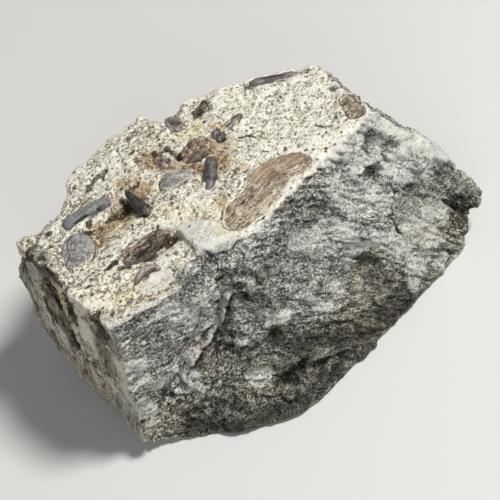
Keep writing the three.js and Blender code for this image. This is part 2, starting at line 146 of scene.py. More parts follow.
# the stone as in its solid: the faces that it broke along, and what swells and what is missing, in mm
grain = (0.84, 0, -0.54)
front = (0.11, -0.96, 0.26)
up = (0, 0, 1)
stone = {
    "faces": {   # a point on each, and the way it faces
        "beddingTop": ((0, 0, 40.7), (-0.035, 0, 1)),
        "restingFace": ((0, 0, -0.8), (0, 0, -1)),
        "leftEnd": ((-38.8, 5, 20), (-1, 0.02, 0.03)),
        "leftUnder": ((-39.2, 5, 3.4), (-0.5, 0, -1)),
        "backLeft": ((-38, 19, 39.4), (-0.27, 0.92, 0.28)),
        "backMiddle": ((-10, 23.4, 24), (0.02, 1, 0.01)),
        "backRight": ((10.6, 16.4, 41), (0.45, 0.85, 0.3)),
        "backCorner": ((20.6, 10.9, 41), (0.64, 0.72, 0.27)),
        "backUnder": ((0, 24, 7.6), (0, 0.85, -0.5)),
        "rightRim": ((24.4, -3, 41.6), (0.9, -0.07, 0.43)),
        "rightEnd": ((40.2, 0, 12), (1, 0, 0)),
        "rightUnder": ((40.2, -14, 10.6), (0.8, 0, -0.6)),
        "frontMain": ((4, -12, 41), (0.11, -0.96, 0.26)),
        "frontUnder": ((-2, -24.3, 1.5), (0.1, -0.8, -0.6)),
        "frontRight": ((27, -22, 1), (0.35, -0.8, -0.45)),
    },
    "flakes": {   # each is the stone outside all of its planes
        "frontChip": (((-37.5, -9.5, 39.3), (-0.246, -0.969, -0.007)), ((-15.4, -14.8, 32), (-0.8, 0, 0.6))),
        "frontFoot": (((-38.3, -8.2, 5.2), (-0.46, -0.85, 0.22)), ((-17.8, -14.8, 33.8), (0.8, 0, -0.6))),
        "rightSlope": (((27.2, -10.2, 41.9), (0.86, 0.25, 0.4)), ((0, 0, 37.5), (0, 0, -1))),
    },
    "swells": {   # centre, half sizes along, across and out, directions along and out, height
        "underCrest": ((2, -13.8, 35.5), (5, 3.5, 6), grain, front, -1.6),
        "middleBulge": ((9, -16, 24.5), (9, 4.5, 6), grain, front, 1.5),
        "trough": ((10, -18, 16.5), (8.5, 2.2, 6), (0.58, -0.1, -0.81), front, -1.5),
        "lowerGroove": ((-11.5, -22.3, 9.6), (7.5, 1.4, 6), grain, front, -1.5),
        "ledgeGroove": ((-4, -20, 14.5), (10, 2, 6), grain, front, -1.5),
        "rightBulge": ((27, -16.8, 14), (6.5, 5.5, 6), up, front, 2.4),
        "rightShoulder": ((35.5, -13.5, 24), (9, 6, 6), (0.4, 0, -0.9), (0.86, 0.2, 0.4), 2.2),
        "knob": ((38.5, -16.5, 11.5), (4, 3.5, 5), up, (0.6, -0.8, 0.1), 2),
        "recess": ((-21, -18, 24.5), (10, 4.5, 7), (0.4, -0.16, 0.86), (-0.35, -0.92, 0.15), -2.4),
        "upperRib": ((20.5, -12.3, 33), (5, 1.8, 5), (1, 0, -0.55), front, 1),
        "upperHollow": ((22.4, -11.8, 37), (3.6, 2.4, 3.4), (0.6, 0, -0.8), front, -1.9),
        "lowerHollow": ((19.6, -13.8, 29.8), (3.8, 2.4, 3.2), (0.9, 0, 0.3), front, -1.9),
        "vug": ((34.3, -18, 10), (4.4, 2.2, 3.6), (0.1, 0, 1), front, -2.2),
        "dome": ((-11, 19, 40.4), (9, 7, 5), (1, 0.2, 0), up, 1.2),
        "rustyTrough": ((-23, 9, 40), (8, 2.6, 5), (1, 0.15, 0), up, -2.2),
        "boneTrough": ((-21.5, -1, 40), (5.5, 2.2, 5), (1, -0.1, 0), up, -2.6),
        "leftLow": ((-27, -8, 39.8), (9, 4, 5), (1, 0, 0), up, -1),
        "leftSwell": ((-39, 20, 26), (12, 8, 8), up, (-1, 0.1, 0), 0.4),
        "foot": ((-38, -8, 4), (4, 4, 5), up, (-0.7, -0.7, -0.2), 0.5),
    },
    "bites": {   # centre, half sizes, directions along and out, softness of the rim
        "backNotch": ((-0.6, 23, 41.6), (3.4, 4.6, 4), (1, 0, 0), up, 1.2),
        "leftScoop": ((-31.5, 24.2, 42), (8, 6.6, 8), (1, 0, 0), up, 1.5),
        "crestBite": ((-17.5, -16.5, 41.5), (8.5, 7.5, 6.5), (1, 0, 0), up, 0.8),
    },
    "roughness": 0.45, "roughSize": 6.0, "heart": (0, 0, 20),
    "voxel": 0.66,       # spacing of the plain mesh; the faces that show most are halved
    "shellDetail": 6,
}


def axesOf(along, out):
    o = unit(out)
    a = np.asarray(along, float)
    a = unit(a - o * (a @ o))
    return np.stack([a, np.cross(o, a), o])


def smoothMax(a, b, width):
    t = np.clip(0.5 + 0.5 * (a - b) / width, 0, 1)
    return b * (1 - t) + a * t + width * t * (1 - t)


def planeDistance(p, face):
    return (p - np.array(face[0])) @ unit(face[1])


def biteDistance(p, name):
    centre, size, along, out, _ = stone["bites"][name]
    q = (p - np.array(centre)) @ axesOf(along, out).T / np.array(size)
    reach = np.linalg.norm(q, axis=1)
    slope = np.linalg.norm(q / np.array(size), axis=1)
    return reach * (reach - 1) / np.maximum(slope, 1e-6)


def brokenForm(p, edge=1.2):
    d = None
    for face in stone["faces"].values():
        e = planeDistance(p, face)
        d = e if d is None else smoothMax(d, e, edge)
    for planes in stone["flakes"].values():
        off = None
        for face in planes:
            e = planeDistance(p, face)
            off = e if off is None else -smoothMax(-off, -e, edge / 2)
        d = smoothMax(d, off, edge / 2)
    for centre, size, along, out, height in stone["swells"].values():
        q = (p - np.array(centre)) @ axesOf(along, out).T / np.array(size)
        d = d - height * np.exp(-(q ** 2).sum(1))
    for name, bite in stone["bites"].items():
        d = smoothMax(d, -biteDistance(p, name), bite[4])
    return d


def stoneDistance(p, edge=1.2):
    fade = smoothStep(0, 3, p[:, 2])
    drawn = stretched(p, grain, 0.6)
    return brokenForm(p, edge) - stone["roughness"] * fade * layeredNoise(drawn, stone["roughSize"], 4, 1)


def crispStone(p):
    return stoneDistance(p, 0.45)


def slopeOf(form, p, step=0.05):
    here = form(p)
    return here, np.stack([(form(p + step * np.eye(3)[a]) - here) / step for a in range(3)], 1)


def ontoForm(form, p, rounds):
    for _ in range(rounds):
        d, g = slopeOf(form, p)
        p = p - g * (d / np.maximum((g ** 2).sum(1), 0.2))[:, None]
    return p


def radialShell():
    # a ball's points, each moved out from the heart to the surface
    bm = bmesh.new()
    bmesh.ops.create_icosphere(bm, subdivisions=stone["shellDetail"], radius=1)
    size = np.array(cadBox[1]) - np.array(cadBox[0])
    rays = np.array([v.co for v in bm.verts]) * size
    rays /= np.linalg.norm(rays, axis=1)[:, None]
    inside, outside = np.zeros(len(rays)), np.full(len(rays), 80.0)
    heart = np.array(stone["heart"])
    for _ in range(18):
        middle = (inside + outside) / 2
        within = stoneDistance(heart + rays * middle[:, None]) < 0
        inside = np.where(within, middle, inside)
        outside = np.where(within, outside, middle)
    for v, place in zip(bm.verts, heart + rays * inside[:, None]):
        v.co = place * mm
    mesh = bpy.data.meshes.new("shell")
    bm.to_mesh(mesh)
    bm.free()
    return mesh


def coordinates(mesh):
    p = np.empty(len(mesh.vertices) * 3)
    mesh.vertices.foreach_get("co", p)
    return p.reshape(-1, 3) / mm


def moveTo(mesh, p):
    mesh.vertices.foreach_set("co", (p * mm).ravel())
    mesh.update()


def normalsOf(mesh):
    n = np.empty(len(mesh.vertices) * 3)
    mesh.vertices.foreach_get("normal", n)
    return n.reshape(-1, 3)


def addPiece(name, mesh):
    piece = bpy.data.objects.new(name, mesh)
    bpy.context.scene.collection.objects.link(piece)
    return piece


def applied(piece):
    # the result of the modifiers as a plain mesh
    evaluated = piece.evaluated_get(bpy.context.evaluated_depsgraph_get())
    mesh = bpy.data.meshes.new_from_object(evaluated)
    piece.modifiers.clear()
    old = piece.data
    piece.data = mesh
    bpy.data.meshes.remove(old)
    return mesh


def halveSeenFaces(mesh):
    # twice the detail on the sides that show most; the flat base and the back stay plain
    bm = bmesh.new()
    bm.from_mesh(mesh)
    aboveBase = [f for f in bm.faces if f.calc_center_median().z > 0.6 * mm]
    seen = [f for f in aboveBase if f.normal @ Vector(sightLine) > -0.05]
    edges = list({e for f in seen for e in f.edges})
    bmesh.ops.subdivide_edges(bm, edges=edges, cuts=1, use_grid_fill=True)
    bm.to_mesh(mesh)
    bm.free()


def plainStone():
    piece = addPiece("stone", radialShell())
    remesh = piece.modifiers.new("even", "REMESH")
    remesh.mode = "VOXEL"
    remesh.voxel_size = stone["voxel"] * mm
    mesh = applied(piece)
    moveTo(mesh, ontoForm(stoneDistance, coordinates(mesh), 1))
    halveSeenFaces(mesh)
    moveTo(mesh, ontoForm(crispStone, coordinates(mesh), 3))
    return piece


stonePiece = plainStone()
print("plain stone,", len(stonePiece.data.vertices), "vertices")


# shapes shared by the stone and the fossils, in mm


def closedSpline(points, steps=4):
    # a smooth closed line through the points
    points = np.array(points, float)
    count = len(points)
    line = []
    for i in range(count):
        a, b, c, d = (points[(i + k) % count] for k in (-1, 0, 1, 2))
        for t in np.arange(steps) / steps:
            line.append(0.5 * (2 * b + (c - a) * t + (2 * a - 5 * b + 4 * c - d) * t * t
                               + (3 * b - a - 3 * c + d) * t ** 3))
    return np.array(line)


def lineDistance(p, points):
    # distance from each place to a line of straight runs
    points = np.atleast_2d(np.array(points, float))
    if len(points) == 1:
        return np.linalg.norm(p - points[0], axis=1)
    best = np.full(len(p), np.inf)
    for a, b in zip(points[:-1], points[1:]):
        run = b - a
        t = np.clip((p - a) @ run / (run @ run), 0, 1)
        best = np.minimum(best, np.linalg.norm(p - a - t[:, None] * run, axis=1))
    return best


def outlineDistance(q, outline):
    # distance in plan from a closed outline, below zero inside it
    inside = np.zeros(len(q), bool)
    for a, b in zip(outline, np.roll(outline, -1, axis=0)):
        crosses = (a[1] > q[:, 1]) != (b[1] > q[:, 1])
        with np.errstate(divide="ignore", invalid="ignore"):
            inside ^= crosses & (q[:, 0] < (b[0] - a[0]) * (q[:, 1] - a[1]) / (b[1] - a[1]) + a[0])
    distance = lineDistance(q, np.vstack([outline, outline[:1]]))
    return np.where(inside, -distance, distance)


def barSize(t, width, height, bend, taper, ends=6):
    # half width, half height and sideways bend along a bar, from -1 to 1
    full = np.maximum(1 - np.abs(t) ** ends, 0) ** 0.5 * (1 - taper * t * t)
    return width * full, height * full, bend * (1 - t * t)


# the fossils: half sizes along, across and out, how far each bends, and the ways that it runs and faces
fossils = {
    "bone_bar": {"kind": "bar", "size": (4.85, 1.1, 1.0), "bend": 0.45, "along": (1, -0.16, 0), "out": up},
    "scale_plate": {"kind": "lump", "size": (4, 3.1, 1.3), "along": (0.7, 0.7, 0), "out": (-0.1, -0.1, 1)},
    "hollow_bone": {"kind": "lump", "size": (4.4, 1.9, 1.5), "along": (1, -0.1, 0), "out": (0, -0.2, 1)},
    "small_bone": {"kind": "bar", "size": (2.7, 0.85, 0.85), "bend": 1.0, "along": (1, -0.08, 0), "out": up},
    "left_bone": {"kind": "lump", "size": (2.3, 1.5, 1.1), "along": (0, 1, 0.2), "out": (-1, 0, 0.2)},
    "rib_bone": {"kind": "bar", "size": (10, 2, 1.2), "bend": 0.8,
                 "along": (0, -0.12, -1), "out": (-1, 0, 0)},
    "notch_bone_left": {"kind": "lump", "size": (2.6, 1.4, 1.2), "along": (0, 1, 0), "out": up},
    "notch_bone_right": {"kind": "lump", "size": (2.1, 1.4, 1.2), "along": (1, 0, 0), "out": up},
    "violet_bone": {"kind": "bar", "size": (1.9, 0.65, 0.7), "bend": 0.2,
                    "along": (0.97, 0.25, 0), "out": up},
    "dark_nodule": {"kind": "lump", "size": (1.4, 1.2, 1.1), "along": (0, 1, 0), "out": up},
    "rust_nodule": {"kind": "lump", "size": (3.1, 2.3, 1.5), "along": (1, 0, 0), "out": up},
    "segmented_spine": {"kind": "bar", "size": (4, 1.4, 1.2), "bend": 0,
                        "along": (-0.74, -0.67, 0), "out": up},
    "grey_plate": {"kind": "lump", "size": (3.3, 1.9, 1.1), "along": (0.84, -0.4, 0), "out": up},
    "pit_bone": {"kind": "lump", "size": (1.8, 1.1, 1), "along": (0, 1, 0), "out": up},
    "tan_nodule": {"kind": "lump", "size": (1.8, 0.9, 0.9), "along": (0.93, -0.37, 0), "out": up},
    "tooth": {"kind": "bar", "size": (3.3, 1.2, 1.1), "bend": 0, "along": (0.02, 1, 0.1), "out": up},
    "rim_bone": {"kind": "bar", "size": (5.5, 1, 1.1), "bend": 0.3, "along": (0.83, -0.56, 0), "out": up},
}
plates = {
    "large_coprolite": {
        "outline": [(-10.6, -7.7), (-7.5, -5), (-2.8, -4.3), (-0.2, -2.9), (5.6, -3.7), (9.6, -6),
                    (10.1, -9.1), (7.7, -10.6), (4, -9.7), (0.1, -10.9), (-7, -11.8), (-10.1, -10.3)],
        "out": (-0.035, -0.06, 1)},
    "rim_coprolite": {
        "outline": [(22.3, -2.8), (20.6, -5.6), (20.4, -8.2), (22.8, -9.4), (24, -7.4), (24, -4.2)],
        "out": up},
}


def middleOf(name):
    low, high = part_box(name)
    return (np.array(low) + np.array(high)) / 2 / mm


def fossilReach(p, name):
    # how far each place is outside a fossil's edge in plan, and its height over the fossil's middle
    if name in plates:
        q = p[:, :2]
        return outlineDistance(q, closedSpline(plates[name]["outline"])), p[:, 2] - middleOf(name)[2]
    spec = fossils[name]
    half, width, height = spec["size"]
    q = (p - middleOf(name)) @ axesOf(spec["along"], spec["out"]).T
    if spec["kind"] == "lump":
        reach = (np.hypot(q[:, 0] / half, q[:, 1] / width) - 1) * min(half, width)
        far = np.hypot(np.maximum(np.abs(q[:, 0]) - half, 0), np.maximum(np.abs(q[:, 1]) - width, 0))
        return np.maximum(reach, far), q[:, 2]
    t, usualTaper = q[:, 0] / half, 0.15
    wide, _, side = barSize(np.clip(t, -1, 1), width, height, spec["bend"], usualTaper)
    across = np.abs(q[:, 1] - side) - np.maximum(wide, 0.3)
    past = (np.abs(t) - 1) * half
    outside = np.hypot(np.maximum(across, 0), np.maximum(past, 0))
    return outside + np.minimum(np.maximum(across, past), 0), q[:, 2]


# lines that more than one mark or step follows
chipFoot = ((-15.5, -13.7, 28.5), (-17.1, -13.2, 26.1), (-18.8, -12.8, 23), (-21.4, -12.4, 20.1),
            (-23.8, -11.8, 18.9), (-26.1, -11.5, 17.5), (-28.5, -10.9, 14.8))
chipCrest = ((-15.8, -13.3, 29.7), (-17.6, -12.9, 26.9), (-19.2, -12.3, 23.4), (-21.6, -12.1, 21),
             (-24, -11.4, 19.8), (-26.3, -11.1, 18.4), (-28.8, -10.6, 15.8), (-29.6, -10.6, 14.4))
endFoot = ((-39.1, 19.5, 30.2), (-38.8, 21.1, 18.8), (-39.3, 18, 9.2), (-39.7, 3.7, 4.9),
           (-39.8, -5.6, 9.4))
# marks on the stone by what they do to it: half width, depth, strength, and the line that each follows
marks = {
    "shade": {     # hollows and undersides, which lie in shadow
        "pocketUpper": (1.4, 0.7, 2.2, (-15.2, -13.9, 28.5), (-14.2, -14.8, 28), (-13.4, -15.5, 27.2)),
        "pocketLower": (1.5, 0.8, 1.4, (-21.2, -12.2, 21), (-19, -13.5, 20.5)),
        "ledgeFoot": (1.8, 0.8, 1.2, (-16.1, -18.7, 9.4), (-13.4, -20.4, 8.1), (-9.2, -21.2, 7.6),
                      (-5.1, -22.1, 5.2)),
        "footDark": (1.6, 0.4, 0.8, (-30.7, -11.1, 9.5), (-28.3, -13.6, 5.9)),
        "crestShade": (2.8, 0.2, 1.6, (0.4, -14.3, 32), (3.4, -13.4, 32), (7.4, -13.4, 32),
                       (12, -13.6, 31.6)),
        "crestShadeLow": (2.6, 0, 1.5, (-8.6, -16, 30.7), (-5, -14.6, 32.6), (-2.7, -14.1, 33.5),
                          (1, -14, 32)),
        "vugLower": (2.8, 0.2, 2, (24, -12, 33), (22.8, -12.8, 30.5), (18.3, -12.7, 31)),
        "overBulge": (1.9, 0.6, 1.8, (25.4, -14.8, 22.8), (28, -15.3, 21.6), (31, -15.9, 19.6)),
        "middleShade": (1.7, 0.7, 0.8, (6.1, -17, 24.3), (10.3, -16.4, 17.7), (13.4, -17.9, 12),
                        (14.4, -20.4, 5)),
        "shadeMiddle": (1.3, 0.6, 0.8, (0.1, -19.1, 16.8), (4.4, -19.4, 14.6)),
        "shadeLower": (1.2, 0.6, 0.8, (0.4, -19.4, 12.3), (3.6, -19.9, 10.7), (5.6, -21.1, 5.8)),
        "shadeLeft": (1.4, 0.5, 0.7, (-13.9, -18.8, 10.4), (-9.8, -21, 8.7)),
        "streak": (0.4, 0.5, 0.9, (-6.9, -18.5, 20.4), (-5.2, -18.6, 19.4), (-3.5, -19, 17.9)),
        "lowShade": (1.5, 0.4, 0.6, (-11.6, -16.8, 26.9), (-8.2, -17.3, 25.1)),
        "domeShade": (2.6, 0.2, 1.2, (-8.5, 19.6, 41.7), (-5.3, 18.8, 41.4), (-5.9, 15.2, 41.3)),
        "backSpot": (0.5, 0.4, 0.9, (-24.5, 20.7, 39.4)),
        "underRight": (5, 0, 2.6, (17, -19.5, 3), (11, -21, 2.4), (2.4, -22.1, 3), (-5.9, -22.8, 3)),
        "underMiddle": (3.4, 0, 2.8, (-5.9, -22.8, 2), (-14.6, -21.2, 1.2), (-24.1, -18, 0.8),
                        (-31, -12, 3)),
        "midDark": (3, 0.2, 1.2, (-5, -17.5, 22), (-6, -18.5, 19)),
        "midDarkRight": (2.4, 0.2, 1.2, (9.5, -17, 17), (15, -17.5, 13)),
        "underLedge": (2, 0.2, 1.6, (-16.2, -19.6, 8.2), (-12, -21, 7.6), (-8, -21.6, 6)),
        "darkLedge": (2.6, 0.5, 2, (-13.9, -18.3, 16.7), (-9.3, -20.6, 14), (-3.4, -21.5, 10.1)),
        "recessFoot": (2.6, 0.3, 1.7, (-22.4, -12.2, 20), (-18.8, -14.5, 18.4), (-18, -16.3, 15)),
        "footBlack": (1.8, 0.2, 1.2, (-31.9, -10.8, 7.8), (-28.6, -12.8, 7.9), (-27, -14.5, 5.4)),
        "leftShade": (1.6, 0, 1, (-26.6, 20.5, 37.7), (-26.9, 15.5, 39.9), (-24.8, 15.8, 39.9)),
        "rimStrip": (1.2, 0.3, 0.8, (25.2, -3, 40.6), (26.6, -6, 37.6)),
        "footOfBulge": (2.2, 0.1, 1.4, (0.7, -19.8, 10.4), (2.9, -20, 9.6)),
        "shelfShade": (2, 0.2, 1.5, (-11.1, -18.6, 17.6), (-10.4, -19.7, 15.9)),
        "cornerShade": (1.6, 0, 0.7, (-38.3, 19.8, 32.8), (-39.1, 20.7, 27.2), (-38.6, 22.2, 19)),
        "chipFoot": (1, 0.2, 2.4, *chipFoot),
        "knobDark": (2.4, 0, 1.4, (37, -16, 9), (38.5, -13, 6), (36, -15, 4)),
        "edgeBump": (2.4, -0.6, 0.7, (25.3, -19.9, 3.6)),
        "cornerDent": (1.6, 0.6, 0.3, (24.4, 2.2, 41.2), (24.6, 0.2, 41)),
        "footShade": (2, 0, 1.6, (12.5, -19.4, 9), (15.8, -19.9, 6)),
        "recessShade": (2, 0, 1.2, (-22, -13.5, 18.5), (-19, -15, 17)),
        "vugFoot": (1.6, 0.3, 1.5, (20.1, -12.6, 28.6)),
        "shelfLine": (1.3, 0.2, 1.4, (-11.9, -16.5, 26.4), (-9.1, -17.6, 24.5), (-5.1, -17.9, 21.8),
                      (-1.3, -18.4, 18.9)),
        "knobFoot": (1.6, 0.1, 1.5, (37.2, -17.9, 9.5), (34.6, -18.3, 3.6)),
        "footLeft": (1.3, 0.1, 1.3, (-23.7, -15.6, 7.5), (-21.3, -16.3, 9.8)),
        "rimCorner": (1.4, 0, 1.4, (-37.2, 15, 39.6), (-37.7, 16.8, 39.7)),
        "crestNick": (1.6, 0.2, 1.5, (15.2, -12.3, 35.8)),
        "cliffShade": (2.6, 0.2, 2.2, (0.2, -21.2, 8.5), (1, -22.3, 4.4)),
        "ledgeDark": (1.4, 0.4, 2.8, (-15.3, -20.1, 7.3), (-13, -21, 7.2), (-9.6, -21.6, 7.6)),
        "boundaryShade": (1.6, 0, 1.2, (-24.1, -11.3, 39.2), (-21, -11.5, 39)),
        "rightDip": (1.6, 0.2, 1, (8.3, -19.4, 12.6), (9.3, -20.2, 10)),
        "recessWall": (1.4, 0.2, 1.4, (-21, -13.8, 16.9)),
        "edgeFoot": (4.6, -2.2, 1.8, (-24.4, -16.8, 1), (-19.6, -20, 1), (-15.2, -22.4, 1)),
        "knobCorner": (1.8, 0, 1.2, (35.4, -17.6, 5.6), (34, -18, 4.9)),
        "middleDip": (1.4, 0.2, 0.5, (1.1, -18.6, 17.6), (2.9, -19.7, 14.5)),
        "upperDip": (1.4, 0.2, 1.1, (5.4, -16.9, 20.6), (3.6, -17.2, 21.2)),
        "knobTop": (1.5, -0.7, 0.3, (36.6, -16.2, 16)),
        "slabFoot": (1.5, 0.1, 1.5, (-14.4, -11, 40), (-17.7, -12, 39.6), (-21.3, -13.6, 37.3)),
        "ridgeShade": (1.8, 0.2, 1.6, (-15, -14.2, 27.5), (-13.4, -16, 25), (-10.6, -17.8, 23.6),
                       (-8.7, -18.1, 22.7)),
        "footDarker": (2.4, 0.1, 2.2, (-24, -15.4, 7.7), (-22.6, -17.4, 3.4), (-20, -19.6, 2)),
        "shelfDeep": (2.4, 0.3, 3.3, (-12.3, -19.1, 16.4), (-9.3, -20.6, 14), (-5.4, -21.2, 11.3),
                      (-1, -21.6, 8.2)),
        "dipShade": (1.8, 0.2, 1.6, (6.1, -16.5, 21.9), (8.2, -17, 16.5), (10.7, -18.2, 12.8),
                     (12.9, -17.9, 12)),
        "crestUnder": (1.8, 0.2, 2.4, (-0.7, -14.5, 31.9), (1.2, -14.6, 31.3), (3.2, -14.9, 30.7)),
        "crestDip": (1.2, 0.1, 1.3, (-1.3, -12.4, 38.6), (1.8, -12.4, 38), (3.3, -12.1, 36.2)),
        "clastShade": (2.2, 0, 0.8, (-10, 13.3, 40.9), (-6, 6, 40.8), (-2.6, 3.4, 40.5),
                       (-3.1, -1.4, 40.6)),
        "nookRight": (1.6, 0.3, 2.8, (-13.6, -18.1, 17.2), (-12.4, -19.2, 16), (-11, -20.2, 15.1)),
        "knobBrow": (1.6, 0.1, 1, (31.8, -15.7, 20.5), (33.4, -16.2, 18)),
        "vugDark": (1.4, 0.3, 1.6, (21.1, -11.6, 34.6), (18.4, -12.1, 35.2), (16.4, -12.3, 35.8)),
        "knobDarker": (2.2, 0.2, 1.4, (34.1, -16, 12.2), (36.2, -17.1, 10), (36.5, -17.6, 7.5),
                       (34.4, -16.8, 7)),
        "slabEdge": (1, 0.1, 1.6, (-12.8, -11.4, 40.1), (-15.3, -10.2, 40), (-17.8, -9.8, 39.8)),
    },
    # some dark marks are painted shadow: in nooks, on a step's wall, under overhangs and below the pieces
    "dark": {     # cracks, holes and dark edges, with a crisp outline
        "vugUpper": (0.8, 0.7, 0.6, (26.2, -12.3, 31.6), (24.3, -11.8, 33), (22.8, -12.2, 31.4)),
        "vugMiddle": (0.9, 0.6, 0.7, (22.8, -12.2, 31.4), (20, -12.4, 31.2), (17, -12.6, 32.6)),
        "bulgeCrack": (0.2, 0.5, 0.9, (20.5, -14.9, 22), (19.3, -16.4, 19.7), (19.4, -17.4, 16.4),
                       (20.8, -18.4, 13.6)),
        "porousVug": (2.2, 0.5, 0.55, (33.4, -16.9, 14), (34.8, -16.3, 10.3), (32.3, -17.4, 7.1)),
        "lowCrack": (0.16, 0.3, 0.8, (-22.5, -15.8, 9.1), (-23.3, -16.1, 6.9), (-24.4, -16.1, 4.8)),
        "recessCrack": (0.14, 0.3, 0.85, (-21.2, -12.5, 20), (-22.2, -13.1, 17.4), (-23.1, -13.5, 15),
                        (-25.1, -12.8, 13.9), (-24.9, -13.3, 12.2)),
        "endMottle": (2, 0.3, 0.6, (-39.1, 6.9, 14.3), (-39.4, 1.4, 17.1), (-39.4, -3.1, 18.8)),
        "endDarkLumps": (1.25, -0.35, 1, (-38.4, 14.6, 38.4), (-38.4, 12.6, 38.6), (-38.4, 11.3, 38.3)),
        "ribShadow": (0.9, 0.5, 0.9, (-38.9, 13.4, 32), (-39, 14.9, 24.9), (-39.4, 15.4, 18.5)),
        "ribEdge": (0.8, 0.3, 0.8, (-38.4, 6.9, 33.4), (-38.8, 6.3, 29.8), (-39, 6.9, 26.1)),
        "toothHollow": (0.8, 0.8, 0.55, (-18.4, 11.4, 39.4), (-15.6, 11.9, 39.9)),
        "troughDark": (0.7, 0.6, 0.62, (-23.8, 10.4, 38.6), (-20.7, 9.7, 38.5), (-17.7, 10.2, 39.2)),
        # painted shadow cast by the stone onto the scale plate's upper edge
        "overPlate": (0.55, 0.5, 1, (-29.4, 11.1, 39.5), (-27.7, 10.9, 39.3), (-26.6, 9.7, 38.8)),
        "boneShade": (0.42, 0.5, 1.1, (-31, 1.1, 39.8), (-29.7, 1.1, 39.7), (-28.4, 0.9, 39.6)),
        "boneHoles": (0.75, 0.6, 0.8, (-20.6, 0.1, 38.4), (-19.2, -1.1, 38.1), (-18.5, -1.5, 38.3)),
        "smallBoneEnd": (0.6, 0.4, 0.8, (-28.5, -5, 39.2)),
        "rimBoneDark": (0.7, 0.2, 0.6, (13.4, 13.3, 41.2), (18.1, 10.7, 41.2), (22.5, 7.1, 41.6)),
        "smallDark": (0.7, -0.2, 0.9, (23.1, 0.1, 41.3)),
        "speck": (0.5, 0.3, 0.9, (18.9, -5.7, 41.6)),
        "rightCrack": (0.26, 0.4, 0.9, (15.5, -3.9, 41.1), (16.1, -5.5, 41.2), (17.3, -6.3, 41.3)),
        "middleCrack": (0.26, 0.4, 0.9, (4.3, 5, 41), (5.6, 4.3, 41), (6.3, 2.8, 41)),
        "pitHollow": (0.8, 0.8, 0.66, (-8.4, 14.1, 41.1), (-6.2, 13.1, 41), (-6.1, 10.4, 40.8)),
        "backSpotLeft": (0.5, 0.4, 0.7, (-32.8, 15.8, 39.9)),
        "backSpotMiddle": (0.5, 0.4, 0.7, (-30.6, 16.8, 39.8)),
        "shelfDark": (0.6, 0.5, 0.6, (-17.2, 18.6, 40.6), (-19.5, 19, 40.1), (-22.2, 18, 40)),
        # painted shadow below the hollow bone
        "boneFoot": (0.8, 0.5, 0.95, (-26.2, 0.9, 39.4), (-25.1, 0.2, 39.2), (-24.1, -0.9, 38.4),
                     (-22.4, -1.4, 37.9)),
        "ringOuter": (1.5, 0.35, 1, (-38.2, 10, 38.6), (-38, 7.5, 38.6), (-38, 5.6, 37.8),
                      (-38.3, 4.4, 35.2), (-38.3, 4.7, 32.1), (-39, 5.1, 28.1)),
        "ringInner": (0.8, 0.4, 1, (-38.4, 11.2, 37), (-38.3, 12.6, 33.2), (-39, 12.9, 29.3),
                      (-39.1, 13.4, 25.1), (-39.2, 13.2, 21.6)),
        "boneEndDark": (0.8, 0.4, 0.8, (-27.4, -0.8, 39.3), (-28.8, -0.4, 39.4)),
        "recessDeep": (0.6, 0.5, 0.66, (-19.9, -14.1, 17.6), (-20.3, -13, 19.5), (-22.2, -12.8, 18.1)),
        "ringCorner": (0.8, 0.2, 0.7, (-37.8, 5.7, 39.6), (-38, 3.7, 39.3)),
        # painted shade in the nook below the chip's edge
        "chipNook": (0.6, 0.4, 0.55, (-14.6, -14.3, 29), (-13.8, -15.1, 27.7)),
        # painted shade on the facet at the left end's lower corner
        "slateDark": (2.4, 0.3, 0.62, (-38.5, -5.4, 37.6), (-38.7, -5.6, 34.5), (-38.8, -4.6, 31)),
        # painted shade on the step's wall beside the chip's edge, and in a nook below it
        "chipLine": (0.35, 0.3, 0.58, *chipFoot),
        "nookLow": (0.5, 0.4, 0.6, (-20.9, -12.5, 21), (-20.1, -13, 20.2)),
        "shelfCrack": (0.2, 0.4, 0.85, (-16.1, -19, 9.1), (-14.3, -20.4, 7.5)),
        # painted shadow under the ledge
        "ledgeBlack": (0.8, 0.3, 0.55, (-14.4, -20.5, 7.1), (-12.6, -21.6, 6)),
        "slateLow": (1.8, 0.1, 0.45, (-39.4, 1.6, 20.1), (-39.5, -1.7, 18.8), (-39.6, -4, 15)),
    },
    # the pale marks are partly the stone's own pale colour and partly painted light on lit crests, edges and
    # faces
    "pale": {     # bright edges and faces, with a crisp outline
        "crestPale": (2, -0.1, 1, (9, -7.2, 40.9), (14.9, -8.4, 41.2), (18.7, -9.7, 41.5),
                      (23.5, -9.8, 41.2)),
        "slopePale": (1.8, 0, 0.9, (26.3, -11, 35.6), (29.4, -12.1, 30.7), (32, -13.9, 26.9)),
        "bulgePale": (4, 0, 0.7, (22.3, -17.6, 15), (26.5, -18.2, 12.6)),
        "bulgeEdge": (0.5, -0.3, 0.6, (24.5, -18.2, 19), (29, -18.6, 14), (29.4, -19, 9)),
        "lowPale": (1.1, -0.2, 0.9, (17.8, -19.1, 8.6), (20.1, -19.9, 5.1)),
        "paleUpper": (1.5, -0.3, 0.6, (5, -14.8, 30.6), (8.3, -16.4, 27.6)),
        "paleLeft": (1.4, -0.2, 0.2, (-4.1, -16.1, 27.8), (-1, -17.3, 22.6)),
        "paleMiddle": (0.9, -0.3, 0.6, (-3.1, -18.4, 19.5), (-1.1, -19, 17.4)),
        "wedgePale": (1.7, -0.2, 0.5, (-21, -13.6, 33.2), (-18.8, -13.9, 33.7), (-16.7, -13.1, 28.3)),
        "lowBright": (1.2, 0, 0.5, (-18.1, -18.1, 9.1), (-17, -19, 8)),
        "slopeWhite": (1.5, 0, 1.9, (24.4, -9.8, 38.5), (26.5, -11, 34.6), (29, -12.6, 30),
                       (31.9, -14, 26.2), (33.6, -14.6, 23.6)),
        "slopeGrey": (2.4, 0, 1.6, (22.7, -12.6, 32.6), (24, -13, 28.9), (26.6, -14.1, 25.6)),
